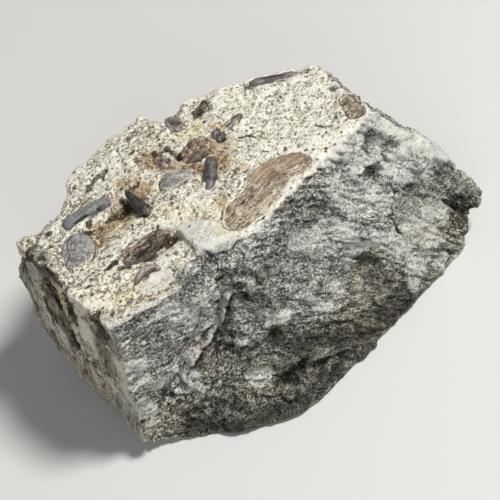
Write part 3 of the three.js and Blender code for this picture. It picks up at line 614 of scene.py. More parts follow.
        "underCrestPale": (2.2, 0, 1, (12.7, -10.8, 40.4), (15.9, -10.9, 38.9), (17.4, -12.8, 34.7),
                           (17.4, -13.9, 26.8)),
        "crestFoot": (2.4, 0, 0.9, (10.9, -12.8, 35.2), (12.5, -14, 30.3), (15.6, -14.6, 26.3)),
        "middlePale": (2.4, 0, 0.7, (-0.5, -15, 30.7), (4.4, -16.8, 27.3), (10.3, -16.6, 19)),
        "bulgeFoot": (2.6, 0, 0.9, (15.9, -17.1, 17.6), (18.1, -18, 13.1), (24.1, -19.2, 9.6)),
        "chipUpper": (3, 0, 0.2, (-31, -11, 36.1), (-26.6, -12.3, 31), (-21.6, -11.3, 24.6)),
        # painted light along the lit crest of the chip's edge
        "chipCrest": (0.35, -0.1, 0.8, *chipCrest),
        "chipPlate": (1.6, 0, 0.5, (-20.4, -12.2, 26), (-23.4, -11.4, 23), (-26.4, -11, 20.5)),
        "brightMiddle": (2.2, 0, 0.7, (-5.3, -18, 21.5), (-3.1, -18, 20.4)),
        "brightRight": (2.2, 0, 1.3, (8.6, -16.2, 18.5), (10.2, -17, 20.1)),
        "brightFoot": (2, 0, 1.4, (19.2, -19, 8.5), (21, -19, 8.6)),
        "chipLow": (2.6, 0, 0.9, (-36.8, -9.3, 23.5), (-37.4, -9, 26.1)),
        "endLow": (3, 0, 0.7, (-39.3, 1.4, 6.9), (-38.9, -2.6, 12.3)),
        "slabRim": (0.45, -0.15, 1.8, (-16.8, -8.4, 40), (-15.4, -9, 40), (-12.6, -10.5, 40.3),
                    (-10.2, -11.2, 40.2), (-6.4, -12.4, 40.4)),
        "ringPale": (1.2, 0, 1.5, (-38.2, 9.4, 34), (-38.4, 8.5, 31.9)),
        "stripPale": (1.5, -0.3, 1.6, (-38.2, 0.6, 39.3), (-38.6, 1.2, 35), (-38.9, 2, 29),
                      (-38.9, 0.9, 25.4)),
        "crestWhite": (2, 0, 1.6, (11, -10.5, 40.6), (16, -10.6, 39.6), (19.4, -11.1, 38),
                       (21.9, -10.3, 39.9)),
        "knobLight": (1.2, 0, 1, (37.8, -15.4, 14.5), (39.2, -14.6, 12.5)),
        "slabCorner": (1.6, 0, 1.4, (-17.2, -3.3, 39.2), (-15.4, -2.6, 39.5)),
        "cornerPale": (1.6, 0, 1.8, (-37.2, -3, 39.4), (-35.8, -4.5, 39.3)),
        "slopeBump": (3, -0.7, 0.7, (31.6, -11.4, 30), (34.4, -12.8, 24.6)),
        "nestPale": (1.6, 0, 1.4, (-16.5, 1, 39.5), (-12.4, -0.2, 40.2), (-9, -2.5, 40.5)),
        "innerPale": (1.2, 0, 1.6, (-18.2, -5.1, 39.7), (-21.4, -3.9, 39.2), (-22.3, -5.6, 39.3),
                      (-26.2, -6.2, 39.1)),
        "crestCream": (1.4, 0, 0.7, (-3.2, -13, 37.4), (-6.5, -13.6, 38.6), (-11.1, -13.4, 39.9)),
        "bulgeLeft": (1.8, 0, 2, (8.2, -17.2, 26), (9.1, -17.5, 23.2), (10.7, -16.9, 19.6)),
        "rightFoot": (1.4, 0, 1.1, (26.7, -19.8, 3.3), (24.9, -20.1, 3.2)),
        "chipBottom": (2, 0, 1, (-38.1, -8.7, 12.1), (-38.8, -8.5, 15)),
        "backLight": (1.8, 0, 1, (-16.9, 18.1, 40.6), (-19, 17.7, 40.2)),
        "nestLight": (1.2, 0, 0.9, (-14.8, 11.2, 39.9)),
        "chipSide": (1.6, 0, 0.6, (-37.8, -9.3, 34), (-38.3, -9.1, 24), (-39.7, -4.6, 9.5)),
        "notchPale": (1.2, 0, 1.2, (-3.4, 15.4, 41.2)),
        "rightLow": (2.2, 0, 0.9, (18.4, -19.6, 5.4), (21.6, -19.4, 7.2)),
        "rightHigh": (2, 0, 1.5, (10.7, -16.9, 19.6), (13.6, -16.2, 20.4)),
        "bulgeLow": (2, 0, 1.2, (24.4, -19.1, 10.8), (26.6, -19, 9.6)),
        "chipRight": (1.6, 0, 1.2, (-21.8, -13.1, 29.6), (-24.6, -12, 25.4)),
        "chipMiddle": (2, 0, 0.9, (-29.3, -11.4, 18.8)),
        "shelfLight": (1.5, 0, 1, (-17.8, -17.4, 10.4), (-16.2, -18.6, 9.6)),
        "middleLight": (1.6, 0, 1.2, (-11.5, -18.1, 21.2), (-8.8, -18.3, 20.2)),
        "middleGleam": (1.5, 0, 1.1, (-2.5, -19.2, 16.6), (-0.4, -19.4, 15.8)),
        # painted light on the lit side of the chip's ridge
        "ridgeBright": (0.9, -0.1, 1.3, (-16.4, -13.1, 29.5), (-18.3, -12.4, 29.1), (-20.5, -11.6, 27.9)),
        "endTan": (2.2, 0, 1.8, (-39, 7.3, 23.8), (-39.2, 13.3, 15)),
        "stripLight": (1.3, -0.2, 2.2, (-38.4, 2.3, 33.7), (-38.6, 1.4, 31.7), (-38.9, 0.4, 27.6)),
        "endRim": (1.5, 0, 1.3, (-38.3, 16.9, 36.6), (-38.5, 17.8, 32.7), (-38.8, 17, 30.3)),
        "faceLight": (2, 0, 1.1, (-27.9, -11.6, 36.3), (-26.2, -12.2, 33.9), (-24.4, -12.7, 31.8)),
        "faceLow": (1.8, 0, 1.3, (-32.7, -10.5, 16.8), (-30.8, -11.2, 17), (-28.7, -10.8, 14.9)),
        "troughLight": (1.2, 0, 1.8, (-20.8, -1.9, 38), (-17.3, -2.2, 38.7), (-14.6, -3.4, 40)),
        "knobGrey": (1.4, 0, 1.1, (35, -16.2, 13.4)),
        # painted light on the lit side of the chip's ridge
        "ridgeLower": (0.9, -0.1, 1.1, (-19.8, -12, 23.7), (-20.8, -11.8, 23.3), (-22.9, -11.4, 22.1),
                       (-26.3, -11, 18.9)),
        "nookPale": (1.4, 0, 0.8, (-17.3, -15.6, 18.4)),
        "slopeLight": (1.5, 0, 1.3, (28.2, -13.8, 26), (28.6, -14.4, 24.6)),
        "middleLow": (1.4, 0, 0.9, (1.6, -18, 18.9), (2.6, -18.7, 17)),
        "shelfPale": (1.1, 0, 0.5, (-13.6, -19, 10.6), (-12.1, -19.8, 9.3)),
        "footPale": (2, 0, 0.9, (-30, -11.6, 13), (-27.5, -12, 12)),
        "upperPale": (2.2, 0, 1, (17, -14, 27), (19.5, -14.6, 23.5)),
        "stripTan": (1.2, 0, 1.2, (-38.6, 3, 31.4), (-38.8, 3.2, 28.6)),
        "slopeLower": (1.8, 0, 1, (28.5, -13.9, 25.8), (29.6, -15.2, 22.2)),
        "bulgeBright": (1.2, 0, 1.2, (10.1, -17.4, 21.4), (11.3, -17, 18.6)),
    },
    "ochre": {     # yellow stains
        "slopeYellow": (1.6, 0, 0.3, (25.4, -9, 37.8), (29, -11, 31.8), (32.2, -13, 27)),
        "bulgeYellow": (1.8, 0, 0.4, (22.3, -18.5, 13), (26.2, -19, 11.4)),
        "lowOchre": (1.8, 0, 0.3, (-17.6, -19.5, 5.9), (-15.1, -20.6, 5.6)),
        "recessYellow": (1.6, 0, 0.6, (-23.9, -11.8, 18.7), (-23.6, -12.6, 17), (-24.6, -12.7, 15.5)),
        "tanStrip": (1.2, 0, 0.7, (-39.2, 9.6, 22.1), (-39.2, 8.9, 17.3)),
        "brightStrip": (1, -0.2, 0.35, (-37.5, 1.3, 39.7), (-38.4, 0.8, 35.1), (-39, 1.3, 27.8)),
        "toothOchre": (2, 0, 0.45, (-15.6, 5.4, 40.1), (-14.3, 1.2, 40), (-11.6, -2.2, 40.3),
                       (-5.5, -5.6, 40.6)),
        "troughOchre": (2.4, 0, 0.6, (-26.8, 8.6, 38.9), (-22.5, 7.6, 38.6), (-18.4, 7.9, 39),
                        (-14.9, 9.6, 39.7)),
        "yellowLump": (1.1, -0.4, 0.8, (-32.5, -6, 38.9), (-31, -5.9, 39)),
        "notchOchre": (1.4, 0, 0.7, (0.8, 12.7, 40.9), (-2.6, 13.2, 41)),
        "ringMiddle": (1.5, -0.2, 0.7, (-38.2, 9.8, 34.5), (-38.4, 8.9, 31.9), (-38.8, 8.2, 27.9)),
        "slabYellow": (2, 0, 0.4, (-15, -0.2, 39.8), (-12.6, -0.4, 40.2), (-9.8, -2.4, 40.5)),
        "toothSide": (1, 0.6, 0.4, (-18, 9.8, 39), (-18.2, 7.8, 39.2), (-18.3, 5.5, 39.7)),
        "lowCream": (5, 0, 0.3, (-35, -3, 39.4), (-29, -7.6, 39.2)),
        "creamWarm": (2, 0, 0.6, (-7.4, -5, 40.6), (-8.2, -7.4, 40.6), (-10.3, -9.2, 40.3)),
    },
    "rust": {     # brown stains
        "endBrown": (5, 0, 0.35, (-39, 12, 34), (-39, 12, 14), (-39, 2, 10)),
        "ribRust": (1.6, 0, 0.6, (-38.5, 10.7, 31.5), (-39.1, 11.8, 26), (-39.1, 10.8, 20.9)),
        "troughRust": (1.7, 0.3, 0.75, (-26.8, 9.6, 38.9), (-22.5, 9.3, 38.6), (-18.4, 9.4, 39),
                       (-14.9, 10.6, 39.7)),
        "boneRust": (1, 0.1, 0.7, (-20.8, -0.3, 38.4), (-18.2, -1.3, 38.5)),
        "knobShade": (3, 0, 0.5, (36, -17, 6), (38, -14, 8), (39.5, -12, 12)),
        "nestBrown": (2.6, 0, 0.68, (-10, 13.3, 40.9), (-8, 8.4, 40.7), (-5.5, 5.3, 40.6), (-3, 3.9, 40.5)),
        "overPlateRust": (1, 0.1, 0.7, (-28, 10.6, 39.3), (-26.9, 8.6, 38.7), (-27.4, 6.6, 39)),
        "toothBrown": (1.5, 0.1, 0.6, (-19.4, 12.6, 39.8), (-17, 13.4, 40.2), (-14.8, 13.4, 40.4)),
        "nestWarm": (2.8, 0, 0.6, (0.7, 5.8, 41.2), (2, 9, 41.2), (-1.4, 3.4, 41)),
        "spineRust": (1.5, 0.1, 0.5, (-7, -3, 40.6), (-7.6, -5.5, 40.6), (-8.6, -8, 40.5)),
    },
    # dark grey patches; those on the left end's lower corner and on the slab's side facet are partly painted
    # shade
    "slate": {     # dark grey patches
        "endSlate": (2.4, 0, 1, (-38.5, -5.6, 37.4), (-38.9, -7.3, 34.9), (-38.9, -7.6, 31.3)),
        "endOlive": (4.6, 0, 0.55, *endFoot),
        "endLump": (1.2, -0.4, 0.9, (-37.4, 14.7, 39.5), (-37.5, 11.6, 39.4)),
        "slabFacet": (0.9, 0.1, 0.4, (-17.4, -2.7, 38.8), (-17.9, -5.8, 39.7), (-18.1, -8.3, 39.8)),
        "slateWide": (2, 0.1, 1, (-38.7, -2.6, 33), (-38.8, -3, 30.5), (-39.2, -2.6, 26),
                      (-39.4, -3.2, 22)),
    },
    "calm": {     # even places, with less relief and fewer grains
        "slopeCalm": (1.8, 0, 0.5, (25.4, -9.8, 37.5), (28, -11.6, 32), (31.5, -13.9, 26.4),
                      (34.6, -14.6, 21)),
        "bulgeCalm": (4, 0, 0.75, (22.5, -17, 18.5), (26.5, -17.6, 15.5)),
        "endCalm": (4.6, 0, 0.7, *endFoot),
        "recessCalm": (1.6, 0, 0.5, (-23.9, -12, 18.2), (-23.8, -12.6, 16)),
    },
    "holed": {     # porous places
        "vugHoles": (2.4, 0.3, 1, (22.4, -10.8, 35.5), (19.6, -11.6, 35), (17, -12.2, 35.4),
                     (16.5, -12.8, 32)),
        "vugHolesLow": (1.6, 0.3, 1, (24.9, -11.9, 32.8), (20.4, -12.6, 30), (18, -12.8, 30.8)),
        "knobHoles": (3, 0.1, 1, (33, -16.9, 15.5), (34.8, -16.3, 10.3), (36.6, -17, 8)),
        "endHoles": (2.6, 0, 0.45, (-37.8, 1.6, 39.4), (-38.4, 2.6, 34.7), (-39, 2.6, 28.8), (-39.2, 6, 20),
                     (-39.2, 15, 26)),
    },
}
# places that are only pressed in, or raised where the depth is below zero: half width, depth and line
dents = {
    "hollowBand": (1.2, 0.8, (-20.8, -13.9, 17), (-18.8, -15.4, 16.4), (-13.6, -18.1, 17.2),
                   (-9, -18.8, 16.7)),
    "ledgeLower": (1, 0.6, (-5.1, -22.1, 5.2), (-1.1, -22.5, 3.9)),
    "footDent": (1.2, 0.4, (-2.9, -22.3, 7), (3, -22, 4.2), (6.6, -21.8, 3.4)),
    "ridgeBump": (1.2, -0.4, (15.1, -13.4, 33), (17.8, -13.1, 27.9), (19.1, -14.4, 24.8),
                  (18.4, -15.2, 22.6)),
    "endLumpSmall": (0.9, -0.3, (-37.6, 14.4, 39.6), (-37.5, 12.4, 39.4)),
    "edgeBumpLow": (2.8, -0.7, (15, -20.8, 3.4), (13, -21, 4)),
    "edgeBumpMiddle": (2.2, -0.8, (4.6, -21.8, 4.4), (2.2, -22.1, 4.5)),
    "edgeBumpLeft": (3, -0.7, (-6.5, -23, 4), (-9, -23, 3.4)),
    "edgeDent": (1.2, 0.6, (-1.6, -22.6, 3.6)),
    "lowLine": (1.3, 0.2, (0.8, -21.7, 7.3), (-2.5, -21.7, 9.3), (-5.7, -21.4, 10.9)),
    "ledgeEnd": (1.1, 0.2, (-13.4, -21.1, 6.5), (-15.1, -20, 7.7)),
    "slabDent": (1.2, 0.1, (-18.7, -11.4, 39.8)),
    "knobBump": (1.8, -0.5, (35.8, -17.4, 6.6), (34.8, -17.4, 5.6)),
    "edgeBumpFoot": (2, -1, (1.4, -22.8, 1.6), (3.4, -22.4, 1.6)),
    "nookFoot": (1.2, 0.3, (-20.3, -14, 17.3), (-18.7, -15.7, 15.9)),
}

# relief finer than the solid's: sizes and heights in mm
relief = {
    "facets": [(6.5, 0.8, 47), (3.0, 0.42, 51), (1.0, 0.26, 61)],     # size, height, seed
    "ripple": (1.3, 0.17),        # ridges along the lines of the break
    "steps": (1.7, 0.46),         # broken steps: a quick rise and a slow fall, one above the other
    "grit": (1.2, 0.22),          # small roughness of the break
    "crumb": (2.6, 0.22),         # soft lumps in the cream
    "lumps": (9.0, 1.0, 0.2),     # large soft lumps of the weathered sides, and the height where they end
    "sideFacets": (3.6, 0.35),
    "endRidges": (2.0, 0.3),      # the left end is drawn out upwards
    "pits": (2.3, 0.55, 0.5),     # spacing, depth, share of cells that hold one
    "finePits": (1.15, 0.24, 0.45),
    "holes": (1.5, 0.7, 0.75),    # as for the pits, in the porous places
    "socket": (0.12, 0.9),        # how far the stone is cut back at a fossil's edge and under it
    # the edge's dark line is painted shade along each fossil
    "edge": (0.26, 0.3),          # half width and depth of the dark line along a fossil
    "hollow": {2: 0.07, 12: 0.3},     # rounds of smoothing, and how far a full pit then lies below the rest
}
# pale beds with a sharp edge on the cream: how far they stand up, and their outline in plan
beds = {
    "slab": (0.65, [(-16.6, -0.9), (-14.8, -1.5), (-10.8, -6.9), (-9.4, -10.4), (-10, -12.2),
                    (-12.6, -11.6), (-15.4, -10), (-16.8, -8.2)]),
    "clast": (0.3, [(-29.9, -6.4), (-28.1, -5.9), (-26.1, -6), (-24.3, -6), (-22.6, -7.2), (-23.6, -10.2),
                    (-26.8, -9.9), (-29.6, -7.9)]),
}
# broken steps: how far each drops on its right as it runs, how soon it fades there, and its line
scarps = {
    "chipEdge": (1.9, 4.0, front, chipCrest),
    "slabSide": (0.5, 2.5, up, [(-14.6, -0.9, 39.8), (-17.0, -1.3, 39.8), (-16.9, -7.9, 39.6)]),
}
weathered = ("beddingTop", "leftEnd", "leftUnder", "backLeft", "backMiddle", "backRight", "backCorner",
             "backUnder")
# where the break reaches in beside the small pale bed, how far, and its half width
breakInlet = ([(-23.3, -11.2, 39.4), (-22.6, -9.7, 39.5), (-21, -10.2, 39.7)], 1.5, 1.5)
# the lines of the break: where they start, how they rise, steeper to the right, and how they are drawn out
breakLines = {"start": -30, "slope": 0.15, "bend": 0.0108, "along": 0.42, "upward": 0.75}


def freshness(p):
    # above zero on the fresh grey break, below zero on the weathered cream faces, in mm from their edge
    old, new = np.full(len(p), -np.inf), np.full(len(p), -np.inf)
    for name, face in stone["faces"].items():
        if name in weathered:
            old = np.maximum(old, planeDistance(p, face))
        elif name != "restingFace":
            new = np.maximum(new, planeDistance(p, face))
    for planes in stone["flakes"].values():
        new = np.maximum(new, np.min([planeDistance(p, face) for face in planes], axis=0))
    new = np.maximum(new, -biteDistance(p, "crestBite"))
    points, reach, width = breakInlet
    return new - old + reach * np.exp(-(lineDistance(p, points) / width) ** 2)


def stepDown(p, name):
    # the depth of a broken step beside its line, nothing on the line's other side
    drop, fade, out, points = scarps[name]
    points, best, side = np.array(points, float), np.full(len(p), np.inf), np.zeros(len(p))
    for a, b in zip(points[:-1], points[1:]):
        run = b - a
        t = np.clip((p - a) @ run / (run @ run), 0, 1)
        away = p - a - t[:, None] * run
        distance = np.linalg.norm(away, axis=1)
        closer = distance < best
        best = np.where(closer, distance, best)
        across = away @ unit(np.cross(run, out))
        past = (t <= 0) | (t >= 1)
        side = np.where(closer, np.where(past & (np.abs(across) < 0.7 * distance), 0, across), side)
    side = side + 0.3 * layeredNoise(p, 1.4, 3, 131)
    fading = np.exp(-np.maximum(side, 0) / fade) * smoothStep(fade * 2, fade, best)
    return -drop * smoothStep(-0.15, 0.2, side) * fading


def cells(p, size, seed):
    # nearest of the scattered centres: distance to it, its own value, and a plane tilted its own way
    q = p / size
    base = np.floor(q).astype(np.int64)
    nearest, value, tilt = np.full(len(p), 9.0), np.zeros(len(p)), np.zeros(len(p))
    for offset in np.ndindex(3, 3, 3):
        corner = base + np.array(offset) - 1
        x, y, z = ((corner[:, a] & 0xffffffff).astype(np.uint32) for a in range(3))
        rand = [cornerValue(x, y, z, seed + k) for k in range(7)]
        away = q - corner - 0.5 - 0.45 * np.stack(rand[:3], 1)
        distance = (away ** 2).sum(1)
        closer = distance < nearest
        nearest = np.where(closer, distance, nearest)
        value = np.where(closer, rand[3], value)
        tilt = np.where(closer, (away * np.stack(rand[4:7], 1)).sum(1), tilt)
    return np.sqrt(nearest), value, tilt


def facets(p, size, seed):
    _, value, tilt = cells(p, size, seed)
    return 0.45 * value + 1.1 * tilt


def pits(p, size, depth, share, seed):
    # round hollows of different widths, with a low rim
    nearest, value, _ = cells(p + 0.25 * size * layeredNoise(p, size, 2, seed + 20)[:, None], size, seed)
    radius = 0.16 + 0.26 * np.abs(value)
    held = value * 0.5 + 0.5 < share
    well = np.where(held, smoothStep(1.0, 0.45, nearest / radius), 0)
    rim = np.where(held, np.exp(-((nearest / radius - 1.15) / 0.2) ** 2), 0)
    return -depth * well * (0.5 + np.abs(value)) + 0.16 * depth * rim, well


def flowing(p):
    # places drawn out along the lines of the break
    x = p[:, 0] - breakLines["start"]
    lifted = p[:, 2] + breakLines["slope"] * x + breakLines["bend"] * x * x
    return np.stack([breakLines["along"] * x, p[:, 1], breakLines["upward"] * lifted], 1)


def brokenSteps(drawn, size, height, seed):
    quick = 0.22      # share of each step that is its quick rise
    phase = drawn[:, 2] / size + 0.9 * layeredNoise(drawn, 3.0, 3, seed)
    part = phase - np.floor(phase)
    rise = np.minimum((1 - part) / (1 - quick), part / quick)
    return height * (rise - 0.5) * smoothStep(-0.5, 0.4, layeredNoise(drawn, 4.0, 2, seed + 9))


def greyRelief(p):
    drawn = flowing(p)
    height = np.zeros(len(p))
    for size, lift, seed in relief["facets"]:
        height += lift * facets(drawn, size, seed)
    size, lift = relief["ripple"]
    height += lift * ridgedNoise(drawn, size, 2, 71)
    height += brokenSteps(drawn, *relief["steps"], 171)
    size, lift = relief["grit"]
    height += lift * layeredNoise(p, size, 2, 75)
    chipFace = smoothStep(-12, -19, p[:, 0]) * smoothStep(18, 24, p[:, 2])
    return height * (1 - 0.35 * chipFace)       # the chip's face is flatter


def creamRelief(p):
    # crumbs and pits, with larger pits towards the left; also how deep in a pit each place lies
    size, lift = relief["crumb"]
    large, largeWell = pits(p, *relief["pits"], 91)
    small, smallWell = pits(p, *relief["finePits"], 101)
    coarse = smoothStep(2, -20, p[:, 0])
    height = lift * layeredNoise(p, size, 4, 81, 0.75) + (large * coarse + small * (0.5 + 0.5 * coarse))
    return height, np.maximum(largeWell * coarse, (0.35 + 0.5 * coarse) * smallWell)


def sideRelief(p):
    size, lift, top = relief["lumps"]
    facetSize, facetLift = relief["sideFacets"]
    return lift * np.minimum(layeredNoise(p, size, 3, 161), top) + facetLift * facets(p, facetSize, 165)


def pressed(depth, width, distance):
    return -depth * np.exp(-np.maximum(distance, 0) ** 2 / (0.8 * width) ** 2)


def markStone(p, warp):
    # how far the marks and dents push the surface, and how strongly each kind tints it
    pushed, tint = np.zeros(len(p)), {}

    def ragged(width, points):
        return lineDistance(p, points) + warp * min(0.7 * width, 0.9)

    for kind, lines in marks.items():
        soft = 0.55 if kind in ("dark", "pale") else 0.95
        tint[kind] = np.zeros(len(p))
        for width, depth, strength, *points in lines.values():
            distance = ragged(width, points)
            amount = strength * smoothStep(width * (1 + soft), width * (1 - soft), distance)
            tint[kind] = np.maximum(tint[kind], amount)
            pushed += pressed(depth, width, distance)
    for width, depth, *points in dents.values():
        pushed += pressed(depth, width, ragged(width, points))
    return pushed, tint


def layBeds(p, warp, height, tint):
    # the pale beds cover the pits and part of the grey; also gives the share that they cover
    bare = np.ones(len(p))
    for lift, outline in beds.values():
        inside = -outlineDistance(p[:, :2], np.array(outline, float)) + 0.12 * warp
        bed = smoothStep(-0.1, 0.25, inside) * smoothStep(37.5, 38.5, p[:, 2])
        height = height * (1 - 0.85 * bed) + lift * bed
        bare = bare * (1 - bed)
        tint["pale"] = np.maximum(tint["pale"], 0.6 * bed)
        tint["calm"] = np.maximum(tint["calm"], bed)
    return height, 1 - bare


def setSockets(p, warp, height, tint, patchy):
    # the stone is cut back under each fossil, with a broken dark line of painted shade along its edge
    covered = np.zeros(len(p))
    edgeCut, underCut = relief["socket"]
    lineWidth, lineDepth = relief["edge"]
    for name in [*fossils, *plates]:
        reach, over = fossilReach(p, name)
        reach = reach + 0.22 * warp
        far, close = (3, 2) if name == "rib_bone" else (4.5, 3.0)
        near = smoothStep(far, close, np.abs(over))
        inside = near * smoothStep(0.3, -0.2, reach)
        covered = np.maximum(covered, inside)
        beneath = near * smoothStep(-0.25, -0.9, reach)
        # painted shade along the fossil's edge
        line = near * np.exp(-((reach - 0.12) / lineWidth) ** 2) * smoothStep(-0.5, 0.6, patchy)
        height = height * (1 - 0.85 * inside) - edgeCut * inside - underCut * beneath - lineDepth * line
        tint["dark"] = np.maximum(tint["dark"], 0.7 * line)
    return height, covered


def sculpted(p):
    # the height of the fine relief at each place, and its masks
    base = smoothStep(0, 2.5, p[:, 2])
    warp = layeredNoise(p, 2.4, 3, 31)
    patchy = layeredNoise(p, 3.0, 3, 141)
    fresh = freshness(p)
    ragged = 0.3 * layeredNoise(p, 2.4, 2, 41) + 0.18 * layeredNoise(p, 0.9, 1, 43)
    grey = smoothStep(-0.25, 0.25, fresh + ragged)
    cream, wells = creamRelief(p)
    end = smoothStep(-37.3, -38.1, p[:, 0]) * smoothStep(39.6, 38.8, p[:, 2])
    size, lift = relief["endRidges"]
    height = grey * (greyRelief(p) - 0.12) + (1 - grey) * (cream - 0.05)
    height += end * lift * ridgedNoise(p * np.array([1, 1, 0.3]), size, 3, 151)
    back = (1 - grey) * smoothStep(40, 36, p[:, 2]) * smoothStep(-39, -37.5, p[:, 0])
    height += back * (sideRelief(p) - 0.3)
    pushed, tint = markStone(p, warp)
    deep, hole = pits(p, *relief["holes"], 191)
    holed = np.clip(tint.pop("holed"), 0, 1)
    height += holed * deep
    # painted shade in the pores of the porous places
    tint["dark"] = np.maximum(tint["dark"], 0.85 * holed * hole)
    for name in scarps:
        height = height + stepDown(p, name)
    height = height * (1 - 0.5 * np.clip(tint["calm"], 0, 1)) + pushed
    height, bedded = layBeds(p, warp, height, tint)
    grey, pitted = grey * (1 - 0.5 * bedded), (1 - grey) * wells * (1 - bedded)
    height, covered = setSockets(p, warp, height, tint, patchy)
    masks = {"grey": grey, "pitted": pitted, "end": end, "dusky": smoothStep(12, -34, p[:, 0]),
             "side": smoothStep(40, 37, p[:, 2]), **tint}
    masks["crest"] = np.exp(-((fresh - 0.1 + 0.25 * warp) / 0.32) ** 2) * smoothStep(34, 37, p[:, 2])
    bare, calm = (1 - covered) * base, np.clip(tint["calm"], 0, 1)
    masks["strewDark"] = bare * (1 - grey) * (1 - pitted) * (1 - 0.95 * calm) * smoothStep(-0.9, 0.7, patchy)
    masks["strewPale"] = bare * grey * smoothStep(0.9, 0.1, tint["shade"]) * smoothStep(-0.7, 0.6, patchy)
    return (height - pushed) * base + pushed * smoothStep(-0.2, 0.6, p[:, 2]), masks


def hollowness(mesh, places):
    # above zero in pits and below zero on crumbs, of two sizes; the stone's colour takes it as painted shade
    # in the pits and painted light on the crumbs
    ends = np.empty(len(mesh.edges) * 2, np.int64)
    mesh.edges.foreach_get("vertices", ends)
    a, b = ends[0::2], ends[1::2]
    count = np.bincount(np.concatenate([a, b]), minlength=len(places)).astype(float)
    normals = normalsOf(mesh)
    smooth, hollow = places.copy(), 0
    for turn in range(1, max(relief["hollow"]) + 1):
        sums = [np.bincount(a, x[b], len(places)) + np.bincount(b, x[a], len(places)) for x in smooth.T]
        smooth = np.stack(sums, 1) / count[:, None]
        if turn in relief["hollow"]:
            below = ((smooth - places) * normals).sum(1)
            hollow = hollow + 0.5 * np.clip(below / relief["hollow"][turn], -1, 1)
    return hollow


def setAttributes(mesh, masks):
    for name, values in masks.items():
        attribute = mesh.attributes.new(name, "FLOAT", "POINT")
        attribute.data.foreach_set("value", np.asarray(values, np.float32))


def setOwnPlaces(mesh, places):
    own = mesh.attributes.new("own", "FLOAT_VECTOR", "POINT")
    own.data.foreach_set("vector", (places * mm).astype(np.float32).ravel())


def fitTo(p, low, high):
    # brings the plain form to the exact length and width, with its resting face at the bottom
    lowest, highest = p.min(0), p.max(0)
    p[:, :2] = low[:2] + (p[:, :2] - lowest[:2]) * (high[:2] - low[:2]) / (highest[:2] - lowest[:2])
    p[:, 2] = np.maximum(p[:, 2], 0) * (high[2] / highest[2])
    return p


def heldInside(p, low, high, soft=0.35):
    # eases back whatever the relief pushed past the block's exact size
    for a, side in ((0, 1), (0, -1), (1, 1), (1, -1), (2, 1)):
        limit = (high[a] if side > 0 else -low[a]) - soft
        over = np.maximum(p[:, a] * side - limit, 0)
        p[:, a] -= side * (over - soft * np.tanh(over / soft))
    p[:, 2] = np.maximum(p[:, 2], 0)
    return p


mesh = stonePiece.data
places = coordinates(mesh)
height, masks = sculpted(places)
lowest, highest = np.array(cadBox[0]) / mm, np.array(cadBox[1]) / mm
places = fitTo(places, lowest, highest) + normalsOf(mesh) * height[:, None]
places = heldInside(places, lowest, highest)
moveTo(mesh, places)
masks["hollow"] = hollowness(mesh, places)
setAttributes(mesh, masks)
mesh.shade_smooth()
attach(stonePiece, "root")
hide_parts("matrix")
print("stone relief,", sum(len(f.vertices) - 2 for f in mesh.polygons), "triangles")

# node helpers shared by the materials; sizes are in mm


def startMaterial(name):
    material = bpy.data.materials.new(name)
    material.use_nodes = True
    tree = material.node_tree
    return material, tree, tree.nodes["Principled BSDF"]


def feed(tree, socket, value):
    if isinstance(value, bpy.types.NodeSocket):
        tree.links.new(value, socket)
    elif isinstance(value, tuple) and len(value) == 3 and socket.type == "RGBA":
        socket.default_value = (*value, 1)
    else:
        socket.default_value = value


def addNode(tree, kind, **sockets):
    made = tree.nodes.new(kind)
    for name, value in sockets.items():
        feed(tree, made.inputs[name.replace("_", " ")], value)
    return made


def arithmetic(tree, operation, a, b, clamp):
    node = tree.nodes.new("ShaderNodeMath")
    node.operation = operation
    node.use_clamp = clamp
    feed(tree, node.inputs[0], a)
    feed(tree, node.inputs[1], b)
    return node.outputs[0]


def times(tree, a, b):
    return arithmetic(tree, "MULTIPLY", a, b, False)


def plus(tree, a, b, clamp=False):
    return arithmetic(tree, "ADD", a, b, clamp)


def minus(tree, a, b, clamp=False):
    return arithmetic(tree, "SUBTRACT", a, b, clamp)


def weighted(tree, values, weights, shift):
    # a sum of the named values, each taken about its middle and multiplied by its weight
    total = shift
    for name, (weight, middle) in weights.items():
        total = plus(tree, times(tree, minus(tree, values[name], middle), weight), total)
    return total


def drawnOut(tree, coords, stretch):
    node = addNode(tree, "ShaderNodeMapping", Vector=coords, Scale=stretch)
    node.vector_type = "TEXTURE"
    return node.outputs["Vector"]


def noise(tree, coords, size, detail=3.0, rough=0.6, twist=0.0):
    node = addNode(tree, "ShaderNodeTexNoise", Vector=coords, Scale=1 / (size * mm), Detail=detail,
                   Roughness=rough, Distortion=twist)
    return node.outputs["Fac"]


def cellular(tree, coords, size):
    # distance from the nearest cell's middle, and that cell's own values
    node = addNode(tree, "ShaderNodeTexVoronoi", Vector=coords, Scale=1 / (size * mm))
    split = addNode(tree, "ShaderNodeSeparateColor", Color=node.outputs["Color"])
    return node.outputs["Distance"], split.outputs["Red"], split.outputs["Green"]


def ramp(tree, value, stops):
    node = tree.nodes.new("ShaderNodeValToRGB")
    band = node.color_ramp
    for i, (place, colour) in enumerate(stops):
        stop = band.elements[i] if i < 2 else band.elements.new(place)
        stop.position = place
        stop.color = (*colour, 1)
    tree.links.new(value, node.inputs["Fac"])
    return node.outputs["Color"]


def blend(tree, share, a, b, kind="MIX"):
    node = tree.nodes.new("ShaderNodeMix")
    node.data_type = "RGBA"
    node.blend_type = kind
    node.clamp_factor = True
    firstColour, secondColour = 6, 7
    feed(tree, node.inputs["Factor"], share)
    feed(tree, node.inputs[firstColour], a)
    feed(tree, node.inputs[secondColour], b)
    return node.outputs[2]


def mask(tree, name):
    node = tree.nodes.new("ShaderNodeAttribute")
    node.attribute_name = name
    return node.outputs["Fac"]


